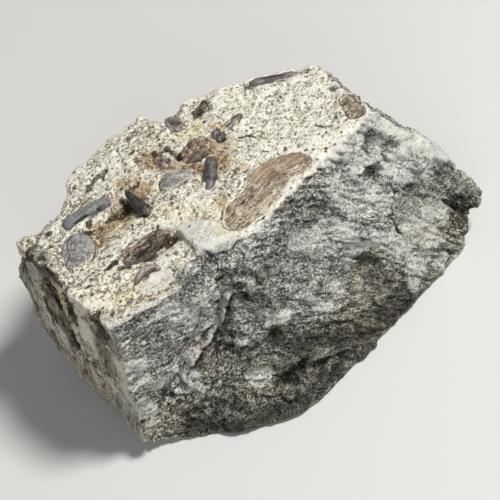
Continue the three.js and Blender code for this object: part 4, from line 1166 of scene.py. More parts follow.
def threshold(tree, value, low, high):
    node = tree.nodes.new("ShaderNodeMapRange")
    node.interpolation_type = "SMOOTHSTEP"
    feed(tree, node.inputs["Value"], value)
    node.inputs["From Min"].default_value = low
    node.inputs["From Max"].default_value = high
    return node.outputs["Result"]


def bumpBy(tree, shader, height, distance):
    node = addNode(tree, "ShaderNodeBump", Distance=distance * mm, Strength=1.0, Height=height)
    tree.links.new(node.outputs["Normal"], shader.inputs["Normal"])


def crookedLines(tree, coords, size, width, twist):
    # thin lines, where a noise passes its middle
    value = noise(tree, coords, size, 3, 0.62, twist)
    away = arithmetic(tree, "ABSOLUTE", minus(tree, value, 0.5), 0.0, False)
    return threshold(tree, away, width, 0.0)


def flowLines(tree, coords):
    # places drawn out along the lines of the break, as for its relief
    split = addNode(tree, "ShaderNodeSeparateXYZ", Vector=coords)
    x = plus(tree, split.outputs["X"], -breakLines["start"] * mm)
    bend = times(tree, x, plus(tree, times(tree, x, breakLines["bend"] / mm), breakLines["slope"]))
    lifted = plus(tree, split.outputs["Z"], bend)
    joined = addNode(tree, "ShaderNodeCombineXYZ", X=times(tree, x, breakLines["along"]),
                     Y=split.outputs["Y"], Z=times(tree, lifted, breakLines["upward"]))
    return joined.outputs["Vector"]


# the stone's colours, from dark to light, and what each is made of: a pattern's weight and its middle
# pale and tone carry the pale marks, partly painted light, and the shade marks' painted shade
# the cream's end weight lightens the left end as painted light
# the hollow weights are painted shade in the pits and painted light on the crumbs
stoneLook = {
    "grey": {
        "stops": [(0.2, (0.026, 0.025, 0.021)), (0.36, (0.088, 0.086, 0.077)), (0.5, (0.222, 0.222, 0.203)),
                  (0.62, (0.43, 0.432, 0.392)), (0.8, (0.84, 0.83, 0.77))],
        "texture": {"wires": (0.32, 0.3), "strokes": (0.26, 0.35), "splinters": (0.9, 0.5),
                    "grains": (0.35, 0.5), "sand": (0.8, 0.5), "crystal": (0.38, 0.5), "streaks": (0.55, 0.5),
                    "patches": (0.25, 0.5), "hollow": (-0.12, 0)},
        "weights": {"texture": (1.0, 0), "pale": (0.13, 0), "crest": (0.36, 0)}, "shift": 0.54},
    "cream": {
        "stops": [(0.2, (0.07, 0.055, 0.04)), (0.36, (0.28, 0.235, 0.165)), (0.48, (0.58, 0.53, 0.39)),
                  (0.6, (0.8, 0.76, 0.6)), (0.8, (0.95, 0.93, 0.82))],
        "weights": {"grains": (2.0, 0.5), "sand": (1.1, 0.5), "crystal": (0.5, 0.5), "blots": (0.6, 0.5),
                    "patches": (0.4, 0.5), "tone": (0.12, 0), "hollow": (-0.2, 0), "dusky": (-0.08, 0),
                    "end": (0.2, 0), "weathering": (0.9, 0)}, "shift": 0.74},
    "end": {
        "stops": [(0.2, (0.03, 0.022, 0.017)), (0.38, (0.16, 0.128, 0.093)), (0.5, (0.38, 0.33, 0.24)),
                  (0.64, (0.7, 0.63, 0.47)), (0.82, (0.95, 0.89, 0.72))],
        "weights": {"uprights": (2.2, 0.5), "grains": (0.8, 0.5), "sand": (0.6, 0.5), "patches": (0.5, 0.5),
                    "tone": (0.2, 0), "hollow": (-0.2, 0), "calm": (-0.05, 0)}, "shift": 0.62},
    "grit": {
        "weights": {"crumbs": (1.0, 0.5), "blots": (0.55, 0.5), "sand": (0.3, 0.5), "dusky": (0.05, 0),
                    "hollow": (0.06, 0), "tone": (-0.05, 0), "calm": (-0.3, 0), "end": (0.09, 0)},
        "shift": 0.5},
    "shadow": {"weights": {"blots": (1.2, 0.5), "grains": (0.6, 0.5)}, "shift": 0.38},
    "bump": {
        "weights": {"grains": (1.0, 0.5), "sand": (0.7, 0.5), "crystal": (0.2, 0.5), "crumbs": (0.6, 0.5),
                    "wires": (0.12, 0.3), "well": (-0.3, 0), "speck": (-0.3, 0), "gaps": (-0.2, 0),
                    "grit": (-0.18, 0)}, "shift": 0.5},
    "pale": [(0.24, (0.13, 0.125, 0.11)), (0.4, (0.33, 0.325, 0.29)), (0.52, (0.52, 0.515, 0.465)),
             (0.72, (0.84, 0.835, 0.78))],
}
# the colour that each mark multiplies in, its greatest share, and where its ragged edge starts and ends
tintLooks = {
    "slate": ((0.3, 0.295, 0.28), 0.85, 0.2, 0.8),
    "ochre": ((1.0, 0.88, 0.62), 0.85, 0.1, 0.95),
    "rust": ((0.5, 0.35, 0.21), 0.9, 0.3, 0.7),
    "dark": ((0.12, 0.095, 0.075), 0.93, 0.42, 0.62),
}


def mixed(tree, values, name):
    look = stoneLook[name]
    return weighted(tree, values, look["weights"], look["shift"])


def stonePatterns(tree, coords):
    drawn = flowLines(tree, coords)
    bedding = drawnOut(tree, coords, (1.6, 1, 1))
    _, crystal, _ = cellular(tree, coords, 0.3)      # each small grain has its own tone
    values = {
        "grains": noise(tree, bedding, 0.38, 4, 0.8, 0.15),
        "splinters": noise(tree, drawn, 0.36, 4, 0.8, 0.1),
        "sand": noise(tree, coords, 0.22, 2, 0.7),
        "wires": crookedLines(tree, drawn, 0.8, 0.045, 0.4),
        "strokes": crookedLines(tree, drawn, 0.5, 0.05, 0.3),
        "gaps": crookedLines(tree, bedding, 1.3, 0.045, 0.6),
        "streaks": noise(tree, drawn, 2.2, 4, 0.65, 0.3),
        "crystal": crystal,
        "patches": noise(tree, coords, 8.0, 4, 0.6),
        "blots": noise(tree, bedding, 1.8, 5, 0.7, 0.4),
        "crumbs": noise(tree, bedding, 0.7, 3, 0.65, 0.3),
        "uprights": noise(tree, drawnOut(tree, coords, (1, 1, 2.6)), 1.4, 4, 0.7, 0.3),
        "lumps": noise(tree, drawnOut(tree, coords, (1.8, 1.8, 0.8)), 3.4, 5, 0.65, 0.3),
    }
    for name in ("hollow", "calm", "pale", "shade", "crest", "dusky", "end", "side", "grey", "pitted"):
        values[name] = mask(tree, name)
    values["tone"] = minus(tree, values["pale"], values["shade"])
    values["weathering"] = times(tree, minus(tree, values["lumps"], 0.52), values["side"])
    values["ragged"] = times(tree, minus(tree, values["grains"], 0.5), 2.4)
    values["loose"] = times(tree, minus(tree, values["blots"], 0.5), 1.4)
    return values


def greyColour(tree, coords, values):
    # the fresh break: dark and light grains with bright crests, warmer in patches and near its foot
    look = stoneLook["grey"]
    even = minus(tree, 1.0, times(tree, values["calm"], 0.55), True)
    values["texture"] = times(tree, weighted(tree, values, look["texture"], 0.0), even)
    values["greyValue"] = mixed(tree, values, "grey")
    colour = ramp(tree, values["greyValue"], look["stops"])
    warm = times(tree, threshold(tree, values["patches"], 0.45, 0.68), 0.5)
    colour = blend(tree, warm, colour, (1.0, 0.94, 0.78), "MULTIPLY")
    height = addNode(tree, "ShaderNodeSeparateXYZ", Vector=coords).outputs["Z"]
    low = times(tree, threshold(tree, height, 26 * mm, 8 * mm), 0.75)
    colour = blend(tree, low, colour, (1.0, 0.965, 0.84), "MULTIPLY")
    shadow = times(tree, values["shade"], mixed(tree, values, "shadow"))
    return blend(tree, shadow, colour, (0.16, 0.155, 0.145), "MULTIPLY")


def scatteredSpecks(tree, coords, values):
    distance, size, chance = cellular(tree, coords, 1.05)
    reach = plus(tree, times(tree, size, 0.3), times(tree, minus(tree, values["sand"], 0.5), 0.25))
    speck = threshold(tree, minus(tree, reach, distance), -0.03, 0.03)
    speck = times(tree, speck, threshold(tree, chance, 0.35, 0.4))
    return times(tree, speck, minus(tree, 1.0, values["calm"]))


def creamColour(tree, coords, values):
    # the weathered cream: pale crumbs with crisp dark gaps, grit, specks and pores; the dark of the gaps and
    # of the deepest pits is painted shade
    colour = ramp(tree, mixed(tree, values, "cream"), stoneLook["cream"]["stops"])
    values["gaps"] = times(tree, values["gaps"], threshold(tree, values["blots"], 0.56, 0.44))
    values["grit"] = threshold(tree, mixed(tree, values, "grit"), 0.6, 0.64)
    values["speck"] = scatteredSpecks(tree, coords, values)
    # painted shade deep in the pits
    deepest = plus(tree, values["pitted"], times(tree, values["grains"], 0.6))
    values["well"] = threshold(tree, deepest, 0.75, 0.9)
    layers = {"gaps": (0.65, (0.17, 0.135, 0.1)), "grit": (0.8, (0.13, 0.1, 0.072)),
              "speck": (0.85, (0.06, 0.05, 0.042)), "well": (0.75, (0.06, 0.046, 0.035))}
    for name, (most, dark) in layers.items():
        colour = blend(tree, times(tree, values[name], most), colour, dark)
    endColour = ramp(tree, mixed(tree, values, "end"), stoneLook["end"]["stops"])
    return blend(tree, times(tree, values["end"], 0.85), colour, endColour)


def tinted(tree, colour, values):
    # the marks' tints, with loose and ragged edges; pale shows on the grey and on the calm beds only
    pale = ramp(tree, values["greyValue"], stoneLook["pale"])
    onGrey = times(tree, plus(tree, values["grey"], values["calm"], True), 0.85)
    looks = {"pale": (pale, onGrey, 0.1, 0.95), **tintLooks}
    for name, (tint, most, low, high) in looks.items():
        amount = mask(tree, name)
        spread = plus(tree, plus(tree, amount, values["loose"]), values["ragged"])
        share = times(tree, threshold(tree, spread, low, high), most)
        share = times(tree, share, threshold(tree, amount, 0.0, 0.25))
        colour = blend(tree, share, colour, tint, "MIX" if name == "pale" else "MULTIPLY")
    return colour


def stoneMaterial():
    material, tree, shader = startMaterial("stone")
    coords = tree.nodes.new("ShaderNodeTexCoord").outputs["Object"]
    values = stonePatterns(tree, coords)
    grey = greyColour(tree, coords, values)
    cream = creamColour(tree, coords, values)
    edge = threshold(tree, plus(tree, values["grey"], values["ragged"]), 0.44, 0.56)
    colour = tinted(tree, blend(tree, edge, cream, grey), values)
    tree.links.new(colour, shader.inputs["Base Color"])
    rough = times(tree, threshold(tree, values["grains"], 0.2, 0.75), 0.25)
    tree.links.new(plus(tree, rough, 0.68), shader.inputs["Roughness"])
    shader.inputs["Specular IOR Level"].default_value = 0.35
    bumpBy(tree, shader, mixed(tree, values, "bump"), 0.45)
    return material


mesh.materials.append(stoneMaterial())
print("stone material")


# finishes of the fossils and grains: colours from dark to light, then weights and sizes in mm of the fibres,
# the mottle and the fine grain
finishes = {
    "slateBone": {
        "colours": [(0.04, 0.041, 0.041), (0.125, 0.13, 0.13), (0.24, 0.245, 0.24)],
        "weights": (0.8, 0.3, 1.5), "fibre": 0.4, "stretch": 2, "mottle": 1.6, "fine": 0.2,
        "rough": 0.6, "coat": 0.05, "bump": 0.12},
    "violetBone": {
        "colours": [(0.04, 0.029, 0.026), (0.155, 0.12, 0.106), (0.33, 0.275, 0.24)],
        "weights": (1.0, 0.8, 1.4), "fibre": 0.6, "stretch": 3, "mottle": 1.3, "fine": 0.24,
        "rough": 0.46, "coat": 0.2, "bump": 0.12},
    "plateBone": {
        "colours": [(0.055, 0.05, 0.047), (0.175, 0.168, 0.162), (0.35, 0.34, 0.325)],
        "weights": (1.0, 1.1, 1.7), "fibre": 0.5, "stretch": 1.3, "mottle": 1.6, "fine": 0.24,
        "rough": 0.42, "coat": 0.25, "bump": 0.09,
        "freckle": (0.2, 0.12, 0.085)},
    "brownBone": {
        "colours": [(0.016, 0.011, 0.008), (0.12, 0.09, 0.06), (0.36, 0.295, 0.21)],
        "weights": (2.0, 1.1, 1.0), "fibre": 0.4, "stretch": 3.6, "mottle": 1.3, "fine": 0.24,
        "rough": 0.66, "coat": 0.05, "bump": 0.4},
    "darkBone": {
        "colours": [(0.012, 0.01, 0.011), (0.062, 0.052, 0.056), (0.17, 0.15, 0.145)],
        "weights": (0.75, 0.8, 0.5), "fibre": 0.5, "stretch": 2.5, "mottle": 1.2, "fine": 0.2,
        "rough": 0.42, "coat": 0.3, "bump": 0.1},
    "rustNodule": {
        "colours": [(0.035, 0.021, 0.014), (0.27, 0.19, 0.12), (0.66, 0.54, 0.4)],
        "weights": (1.2, 0.8, 1.6), "fibre": 0.5, "stretch": 1.4, "mottle": 1.2, "fine": 0.25,
        "rough": 0.6, "coat": 0.05, "bump": 0.3},
    "coprolite": {
        "colours": [(0.075, 0.052, 0.036), (0.27, 0.208, 0.148), (0.6, 0.52, 0.4)],
        "weights": (2.2, 0.6, 1.4), "fibre": 0.36, "stretch": 4.5, "mottle": 2.4, "fine": 0.24,
        "rough": 0.62, "coat": 0.0, "bump": 0.5,
        "stain": (0.25, 0.15, 0.075)},
    "paleStone": {
        "colours": [(0.14, 0.105, 0.065), (0.42, 0.345, 0.235), (0.68, 0.61, 0.47)],
        "weights": (0.7, 0.6, 0.9), "fibre": 0.4, "stretch": 1.5, "mottle": 1.2, "fine": 0.24,
        "rough": 0.6, "coat": 0.0, "bump": 0.15},
    "paleBone": {
        "colours": [(0.07, 0.064, 0.054), (0.17, 0.164, 0.144), (0.38, 0.37, 0.325)],
        "weights": (0.8, 0.8, 1.5), "fibre": 0.5, "stretch": 1.6, "mottle": 1.4, "fine": 0.24,
        "rough": 0.52, "coat": 0.1, "bump": 0.1},
    "darkGrain": {
        "colours": [(0.012, 0.009, 0.007), (0.055, 0.044, 0.036), (0.17, 0.14, 0.11)],
        "weights": (0.75, 0.8, 0.5), "fibre": 0.4, "stretch": 1, "mottle": 1.6, "fine": 0.2,
        "rough": 0.5, "coat": 0.1, "bump": 0.08},
    "paleGrain": {
        "colours": [(0.16, 0.155, 0.14), (0.4, 0.395, 0.36), (0.75, 0.745, 0.7)],
        "weights": (0.75, 0.8, 0.5), "fibre": 0.5, "stretch": 1, "mottle": 2.2, "fine": 0.3,
        "rough": 0.4, "coat": 0.2, "bump": 0.05},
    "enamel": {
        "colours": [(0.005, 0.0045, 0.0045), (0.02, 0.018, 0.018), (0.07, 0.064, 0.06)],
        "weights": (0.75, 0.8, 0.5), "fibre": 0.35, "stretch": 9, "mottle": 1.6, "fine": 0.15,
        "rough": 0.28, "coat": 0.6, "bump": 0.02},
}


def fossilColour(tree, own, spec, values):
    weights = {name: (weight, 0.5) for name, weight in zip(("fibres", "mottle", "fine"), spec["weights"])}
    weights["paleness"] = (0.3, 0)
    dark, middle, light = spec["colours"]
    colour = ramp(tree, weighted(tree, values, weights, 0.5), [(0.25, dark), (0.5, middle), (0.76, light)])
    if "stain" in spec:
        spread = plus(tree, mask(tree, "stain"), times(tree, values["mottle"], 0.5))
        colour = blend(tree, times(tree, threshold(tree, spread, 0.4, 1.0), 0.4), colour, spec["stain"])
    if "freckle" in spec:
        spread = plus(tree, noise(tree, own, 0.5, 3, 0.7), times(tree, mask(tree, "stain"), 0.2))
        colour = blend(tree, times(tree, threshold(tree, spread, 0.6, 0.68), 0.7), colour, spec["freckle"])
    # painted shade: the deep mask darkens the hollows, cracks and sides in shadow
    deep = times(tree, mask(tree, "deep"), 0.93)
    return blend(tree, deep, colour, (0.1, 0.075, 0.065), "MULTIPLY")


def fossilMaterial(name):
    spec = finishes[name]
    material, tree, shader = startMaterial(name)
    places = tree.nodes.new("ShaderNodeAttribute")
    places.attribute_name = "own"      # the place along, across and out of the piece
    own = places.outputs["Vector"]
    drawn = drawnOut(tree, own, (spec["stretch"], 1, 1))
    values = {"fibres": noise(tree, drawn, spec["fibre"], 4, 0.7, 0.4),
              "mottle": noise(tree, own, spec["mottle"], 4, 0.6, 0.5),
              "fine": noise(tree, own, spec["fine"], 2, 0.6),
              "paleness": mask(tree, "paleness")}
    tree.links.new(fossilColour(tree, own, spec, values), shader.inputs["Base Color"])
    rough = plus(tree, times(tree, minus(tree, values["fibres"], 0.5), 0.35), spec["rough"])
    tree.links.new(rough, shader.inputs["Roughness"])
    shader.inputs["Coat Weight"].default_value = spec["coat"]
    shader.inputs["Coat Roughness"].default_value = 0.22
    shader.inputs["Specular IOR Level"].default_value = 0.5
    height = weighted(tree, values, {"fibres": (1.0, 0.5), "fine": (0.5, 0.5)}, 0.5)
    bumpBy(tree, shader, height, spec["bump"])
    return material


materials = {name: fossilMaterial(name) for name in finishes}
print("fossil materials")


# meshes of the fossils, each in its own axes: along, across and out, in mm


def drawnAlong(points, share):
    # for a pattern that runs along the piece
    return points * np.array([share, 1, 1])


def ballMesh():
    bm = bmesh.new()
    bmesh.ops.create_icosphere(bm, subdivisions=5, radius=1)
    points = np.array([v.co for v in bm.verts])
    faces = [[v.index for v in f.verts] for f in bm.faces]
    bm.free()
    return points, faces


def sweepMesh(places, wide, high, sides, square):
    # rings along a line, closed by a point at each end
    angle = np.arange(sides) * 2 * math.pi / sides
    c, s = np.cos(angle), np.sin(angle)
    ring = np.stack([np.sign(c) * np.abs(c) ** square, np.sign(s) * np.abs(s) ** square], 1)
    points = [places[0]]
    for centre, w, h in zip(places[1:-1], wide[1:-1], high[1:-1]):
        points.extend(centre + np.array([0, a * w, b * h]) for a, b in ring)
    points.append(places[-1])
    faces, last = [], len(points) - 1
    rings = len(places) - 2
    for k in range(sides):
        n = (k + 1) % sides
        faces.append([0, 1 + n, 1 + k])
        for r in range(rings - 1):
            a, b = 1 + r * sides, 1 + (r + 1) * sides
            faces.append([a + k, a + n, b + n, b + k])
        faces.append([last, last - sides + k, last - sides + n])
    return np.array(points), faces


def outlineSolid(outline, bottom, top):
    bm = bmesh.new()
    low, high = ([bm.verts.new((x * mm, y * mm, z * mm)) for x, y in outline] for z in (bottom, top))
    bm.faces.new(high)
    bm.faces.new(low[::-1])
    for i in range(len(outline)):
        j = (i + 1) % len(outline)
        bm.faces.new((low[i], low[j], high[j], high[i]))
    bmesh.ops.recalc_face_normals(bm, faces=bm.faces)
    bmesh.ops.triangulate(bm, faces=bm.faces)
    mesh = bpy.data.meshes.new("slab")
    bm.to_mesh(mesh)
    bm.free()
    return mesh


def slabMesh(outline, bottom, top, voxel, rounding):
    # a closed outline given a thickness, evened out and rounded
    piece = addPiece("slab", outlineSolid(closedSpline(outline), bottom, top))
    even = piece.modifiers.new("even", "REMESH")
    even.mode = "VOXEL"
    even.voxel_size = voxel * mm
    soften = piece.modifiers.new("soften", "SMOOTH")
    soften.factor, soften.iterations = 0.5, rounding
    mesh = applied(piece)
    points = coordinates(mesh)
    faces = [list(f.vertices) for f in mesh.polygons]
    bpy.data.objects.remove(piece)
    bpy.data.meshes.remove(mesh)
    return points, faces


def outwardNormals(points, faces):
    mesh = bpy.data.meshes.new("trial")
    mesh.from_pydata(points.tolist(), [], faces)
    normals = normalsOf(mesh)
    bpy.data.meshes.remove(mesh)
    return normals


shifted = {"tooth": (-0.45, -0.35, 0.65)}     # the tooth stands clear of the stone
usualSink = 0.35      # how far a piece is set back from its solid's place, except for these
sunk = {"rib_bone": 0.1, "large_coprolite": -0.1, "rim_coprolite": -0.2, "scale_plate": 0.4,
        "hollow_bone": 0.1, "bone_bar": -0.15, "small_bone": -0.65, "segmented_spine": 0.1}


def setFossil(name, points, faces, finish, masks, along, out):
    # turns a piece to its place and lays its box over its solid's
    world = points @ axesOf(along, out)
    world = world - (world.min(0) + world.max(0)) / 2 + middleOf(name)
    world = world + (shifted[name] if name in shifted else -unit(out) * sunk.get(name, usualSink))
    world[:, 2] = np.minimum(world[:, 2], cadBox[1][2] / mm - 0.01)
    mesh = bpy.data.meshes.new(name)
    mesh.from_pydata((world * mm).tolist(), [], faces)
    bm = bmesh.new()
    bm.from_mesh(mesh)
    bmesh.ops.recalc_face_normals(bm, faces=bm.faces)
    bm.to_mesh(mesh)
    bm.free()
    mesh.shade_smooth()
    unmarked = {key: np.zeros(len(points)) for key in ("paleness", "deep", "stain")}
    setAttributes(mesh, {**unmarked, **masks})
    setOwnPlaces(mesh, points)
    mesh.materials.append(materials[finish])
    piece = addPiece("fossil_" + name, mesh)
    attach(piece, "root")
    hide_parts(name)
    return piece


def carved(points, faces, height):
    return points + outwardNormals(points, faces) * height[:, None]


def palenessFrom(height):
    # high places are paler and low ones darker
    spread = max(np.ptp(height), 1e-6)
    return np.clip((height - np.median(height)) / spread * 2, -1, 1)


# lumps: how rough and how square, the finish, the height of the fibres and the depth of the holes
lumps = {
    "hollow_bone": {"rough": 0.42, "square": 2.4, "finish": "brownBone", "fibre": 0.34, "holes": 0.2},
    "left_bone": {"rough": 0.2, "square": 2.4, "finish": "darkBone", "fibre": 0.16, "holes": 0.15},
    "notch_bone_right": {"rough": 0.32, "square": 2.6, "finish": "brownBone", "fibre": 0.24, "holes": 0.25},
    "dark_nodule": {"rough": 0.34, "square": 2, "finish": "darkBone", "fibre": 0.2, "holes": 0.15},
    "pit_bone": {"rough": 0.16, "square": 2.2, "finish": "violetBone", "fibre": 0.12, "holes": 0.1},
    "tan_nodule": {"rough": 0.14, "square": 2.2, "finish": "paleStone", "fibre": 0.1, "holes": 0.05},
}


def hollowBoneShade(points, seed):
    # painted shade in patches of its right half, where it is broken open, and painted shadow along its near
    # edge
    holes = smoothStep(-0.3, 0.6, layeredNoise(points, 0.9, 3, seed + 30))
    opened = smoothStep(1.2, 3.4, points[:, 0]) * holes
    nearEdge = smoothStep(-0.2, -1.0, points[:, 1] + 0.4 * layeredNoise(points, 1.0, 3, seed + 40))
    return 0.8 * np.maximum(opened, nearEdge)


def lumpForm(name, seed):
    spec, place = lumps[name], fossils[name]
    unitPoints, faces = ballMesh()
    n = spec["square"]
    points = unitPoints / ((np.abs(unitPoints) ** n).sum(1) ** (1 / n))[:, None]
    points = points * (1 + spec["rough"] * layeredNoise(unitPoints, 0.8, 3, seed))[:, None]
    points = points * np.array(place["size"])
    height = spec["fibre"] * ridgedNoise(drawnAlong(points, 0.28), 0.9, 3, seed + 10) * 0.5
    height -= spec["holes"] * smoothStep(0.25, 0.7, layeredNoise(points, 1.1, 3, seed + 20))
    points = carved(points, faces, height)
    # painted shade in the holes and low places
    deep = smoothStep(0.0, -0.3, height) * 0.6
    if name == "hollow_bone":
        deep = np.maximum(deep, hollowBoneShade(points, seed))
    masks = {"paleness": palenessFrom(height), "deep": deep}
    setFossil(name, points, faces, spec["finish"], masks, place["along"], place["out"])


for seed, name in enumerate(lumps):
    lumpForm(name, 200 + seed * 7)


# bars: each one's relief gives how far its surface is lifted, and how deep in shadow it lies


def barBoneRelief(points, seed):
    # fine cross lines, an uneven top and a crack along the near edge, whose darkness is painted shadow
    x, y, z = points.T
    lift = 0.03 * np.sin(x * 9 + 2 * layeredNoise(points, 1.5, 2, seed))
    lift += 0.05 * layeredNoise(points, 1.2, 3, seed)
    crack = np.exp(-((y + 0.72 + 0.12 * np.sin(x * 1.7)) / 0.09) ** 2) * (z > 0)
    crack *= smoothStep(4.4, 2.5, np.abs(x))
    return lift - 0.16 * crack, 0.9 * crack


def ribRelief(points, seed):
    # ribbed and broken, with painted shade in its hollows and along one side
    drawn = drawnAlong(points, 0.3)
    lift = 0.55 * layeredNoise(drawn, 1.8, 4, seed) + 0.25 * ridgedNoise(drawn, 1.2, 3, seed + 5)
    return lift, np.maximum(smoothStep(0.05, -0.45, lift), 0.8 * smoothStep(-0.9, -1.6, points[:, 1]))


def slimRelief(points, seed):
    drawn = drawnAlong(points, 0.3)
    lift = 0.16 * layeredNoise(drawn, 1.0, 3, seed) + 0.08 * ridgedNoise(drawn, 0.7, 2, seed + 5)
    # painted shade in its low places
    return lift, 0.7 * smoothStep(-0.06, -0.24, lift)


bars = {
    "bone_bar": {"steps": 60, "sides": 40, "square": 0.4, "ends": 14, "taper": 0.0, "finish": "slateBone",
                 "relief": barBoneRelief},
    "small_bone": {"steps": 44, "sides": 28, "square": 0.9, "ends": 4, "taper": 0.1, "finish": "violetBone",
                   "relief": slimRelief},
    "rib_bone": {"steps": 90, "sides": 40, "square": 0.8, "ends": 6, "taper": 0.3, "finish": "brownBone",
                 "relief": ribRelief},
    "violet_bone": {"steps": 40, "sides": 24, "square": 0.9, "ends": 4, "taper": 0.05, "finish": "violetBone",
                    "relief": slimRelief},
    "rim_bone": {"steps": 60, "sides": 28, "square": 0.75, "ends": 6, "taper": 0.15, "finish": "darkBone",
                 "relief": slimRelief},
}


def crowdedRun(steps):
    # from -1 to 1, closer together towards both ends
    return np.sin(np.linspace(-1, 1, steps) * math.pi / 2)


def barForm(name, seed):
    spec, place = bars[name], fossils[name]
    half, width, height = place["size"]
    t = crowdedRun(spec["steps"])
    wide, high, side = barSize(t, width, height, place["bend"], spec["taper"], spec["ends"])
    if name == "violet_bone":     # two lobes
        waist = 1 - 0.28 * np.exp(-((t + 0.1) / 0.22) ** 2)
        wide, high = wide * waist, high * waist
    if name == "bone_bar":        # both ends are broader than the middle
        wide = wide * (0.96 - 0.12 * t + 0.2 * t ** 2)
    points, faces = sweepMesh(np.stack([t * half, side, 0 * t], 1), wide, high, spec["sides"], spec["square"])
    lift, deep = spec["relief"](points, seed)
    masks = {"deep": deep, "paleness": palenessFrom(lift)}
    setFossil(name, carved(points, faces, lift), faces, spec["finish"], masks, place["along"], place["out"])


for seed, name in enumerate(bars):
    barForm(name, 260 + seed * 7)
print("lumps and bars")

# the jointed spine: a smooth head, ridged joints, then a small striped end
spine = {
    "steps": 150, "sides": 40, "joints": 6, "ridge": 0.26, "stripes": 5,
    "girth": [(-1, 0), (-0.96, 0.46), (-0.8, 0.95), (-0.55, 1.15), (-0.36, 1.02), (-0.28, 0.98),
              (-0.05, 1.42), (0.25, 1.46), (0.42, 1.15), (0.5, 0.8), (0.62, 0.82), (0.85, 0.74), (0.96, 0.46),
              (1, 0)],
}


def spineForm():
    place = fossils["segmented_spine"]
    half = place["size"][0]
    t = crowdedRun(spine["steps"])
    body = smoothStep(-0.34, -0.26, t) * smoothStep(0.52, 0.44, t)
    tail = smoothStep(0.48, 0.54, t)
    ridges = np.abs(np.sin(math.pi * spine["joints"] * (t + 0.3) / 0.8)) ** 0.6
    stripes = np.abs(np.sin(math.pi * spine["stripes"] * (t - 0.5) / 0.5)) ** 0.6
    groove = spine["ridge"] * (body * (1 - ridges) + 0.6 * tail * (1 - stripes))
    wide = np.maximum(np.interp(t, *zip(*spine["girth"])) - groove, 0)
    places = np.stack([t * half, 0.3 * np.sin(t * 2.4), 0 * t], 1)
    points, faces = sweepMesh(places, wide, wide * 0.92, spine["sides"], 0.9)
    along = points[:, 0] / half
    near = np.interp(along, t, groove) / spine["ridge"]
    lift = 0.05 * layeredNoise(points, 0.8, 3, 301)
    keel = np.exp(-(points[:, 1] - 0.3 * np.sin(along * 2.4)) ** 2 / 0.05) * (points[:, 2] > 0)
    lift += 0.1 * keel * smoothStep(-0.3, -0.2, along) * smoothStep(0.5, 0.4, along)
    points = carved(points, faces, lift)
    paleness = 0.9 * smoothStep(0.4, 0, near) * smoothStep(0.45, 0.6, along)
    # painted shade in the grooves between the joints and the stripes
    masks = {"deep": np.clip(near, 0, 1) ** 2, "paleness": paleness}
    setFossil("segmented_spine", points, faces, "darkBone", masks, place["along"], place["out"])


spineForm()

# the tooth: a curved, pointed crown with a worn tip, on a short root
tooth = {"length": 7.3, "radius": 1.22, "root": 1.2, "tip": 0.38, "curve": 0.35, "steps": 90, "sides": 48}


def toothForm():
    length, root, tip = tooth["length"], tooth["root"], tooth["tip"]
    along = np.linspace(0, 1, tooth["steps"]) * length
    crown = np.clip((along - root) / (length - root), 0, 1)
    crownWide = tooth["radius"] * (tip + (1 - tip) * (1 - crown) ** 0.6) * (1 - crown ** 14) ** 0.5
    rootWide = 0.62 * tooth["radius"] * np.maximum(1 - (1 - along / root) ** 2, 0) ** 0.5
    wide = np.where(along < root, rootWide, crownWide)
    wide[0] = wide[-1] = 0
    rise = tooth["curve"] * (along / length) ** 2
    points, faces = sweepMesh(np.stack([along, 0 * along, rise], 1), wide, wide * 0.86, tooth["sides"], 0.95)
    onRoot = smoothStep(root + 0.12, root - 0.12, points[:, 0])
    lift = 0.26 * onRoot * layeredNoise(points, 0.7, 3, 321)
    lift += 0.012 * np.sin(np.arctan2(points[:, 2], points[:, 1]) * 14) * (1 - onRoot)
    points = carved(points, faces, lift)
    # painted shade in the crease where the crown meets the root
    masks = {"paleness": -0.3 * onRoot, "deep": 0.7 * np.exp(-((points[:, 0] - root) / 0.14) ** 2)}
    piece = setFossil("tooth", points, faces, "enamel", masks, fossils["tooth"]["along"], up)
    piece.data.materials.append(materials["violetBone"])
    ends = np.array([points[f.vertices[0], 0] for f in piece.data.polygons])
    piece.data.polygons.foreach_set("material_index", (ends < root - 0.1).astype(np.int32))


toothForm()
print("spine and tooth")


# flat pieces: each one's relief gives the height of its top, how deep in shadow it lies, and its stain


def creaseAlong(q, points, width):
    return np.exp(-(lineDistance(q[:, :2], points) / width) ** 2)


def plateRelief(q):
    # a curved crack cuts off its left end, and freckles lie along its near side
    crack = creaseAlong(q, [(3.2, 1.4), (2.2, 2.2), (0.6, 2.1), (-0.8, 1.5), (-2, 1.8), (-3.2, 2.2)], 0.12)
    branch = creaseAlong(q, [(0.5, 2.0), (0.1, 0.6), (0.6, -0.6)], 0.09)
    lift = 0.1 * layeredNoise(q, 2.2, 3, 401) - 0.2 * crack - 0.08 * branch
    lift += 0.1 * smoothStep(1.1, 1.9, q[:, 1])
    freckled = smoothStep(1.4, 3.2, -0.6 * q[:, 0] - 0.8 * q[:, 1])
    return lift, np.maximum(0.95 * crack, 0.5 * branch), freckled


def greyPlateRelief(q):
    # a raised pale edge and a shallow step
    step = smoothStep(-0.25, 0.1, q[:, 1] + 0.35 * q[:, 0] + 0.3 * layeredNoise(q, 1.6, 2, 411))
    return 0.09 * layeredNoise(q, 1.3, 3, 412) + 0.16 * step, 0, 0


def rustRelief(q):
    # a net of dark ridges, with one dark knob, and painted shade along its near side
    net = ridgedNoise(q, 1.7, 3, 421, 0.6)
    knob = np.exp(-((q[:, 0] - 0.9) ** 2 + (q[:, 1] + 1.1) ** 2) / 0.16)
    lift = 0.42 * net + 0.2 * layeredNoise(q, 1.2, 3, 422) + 0.35 * knob
    deep = np.maximum(smoothStep(0.15, 0.75, net) * 0.85, knob)
    return lift, np.maximum(deep, 0.8 * smoothStep(-1.5, -2.2, q[:, 1])), 0


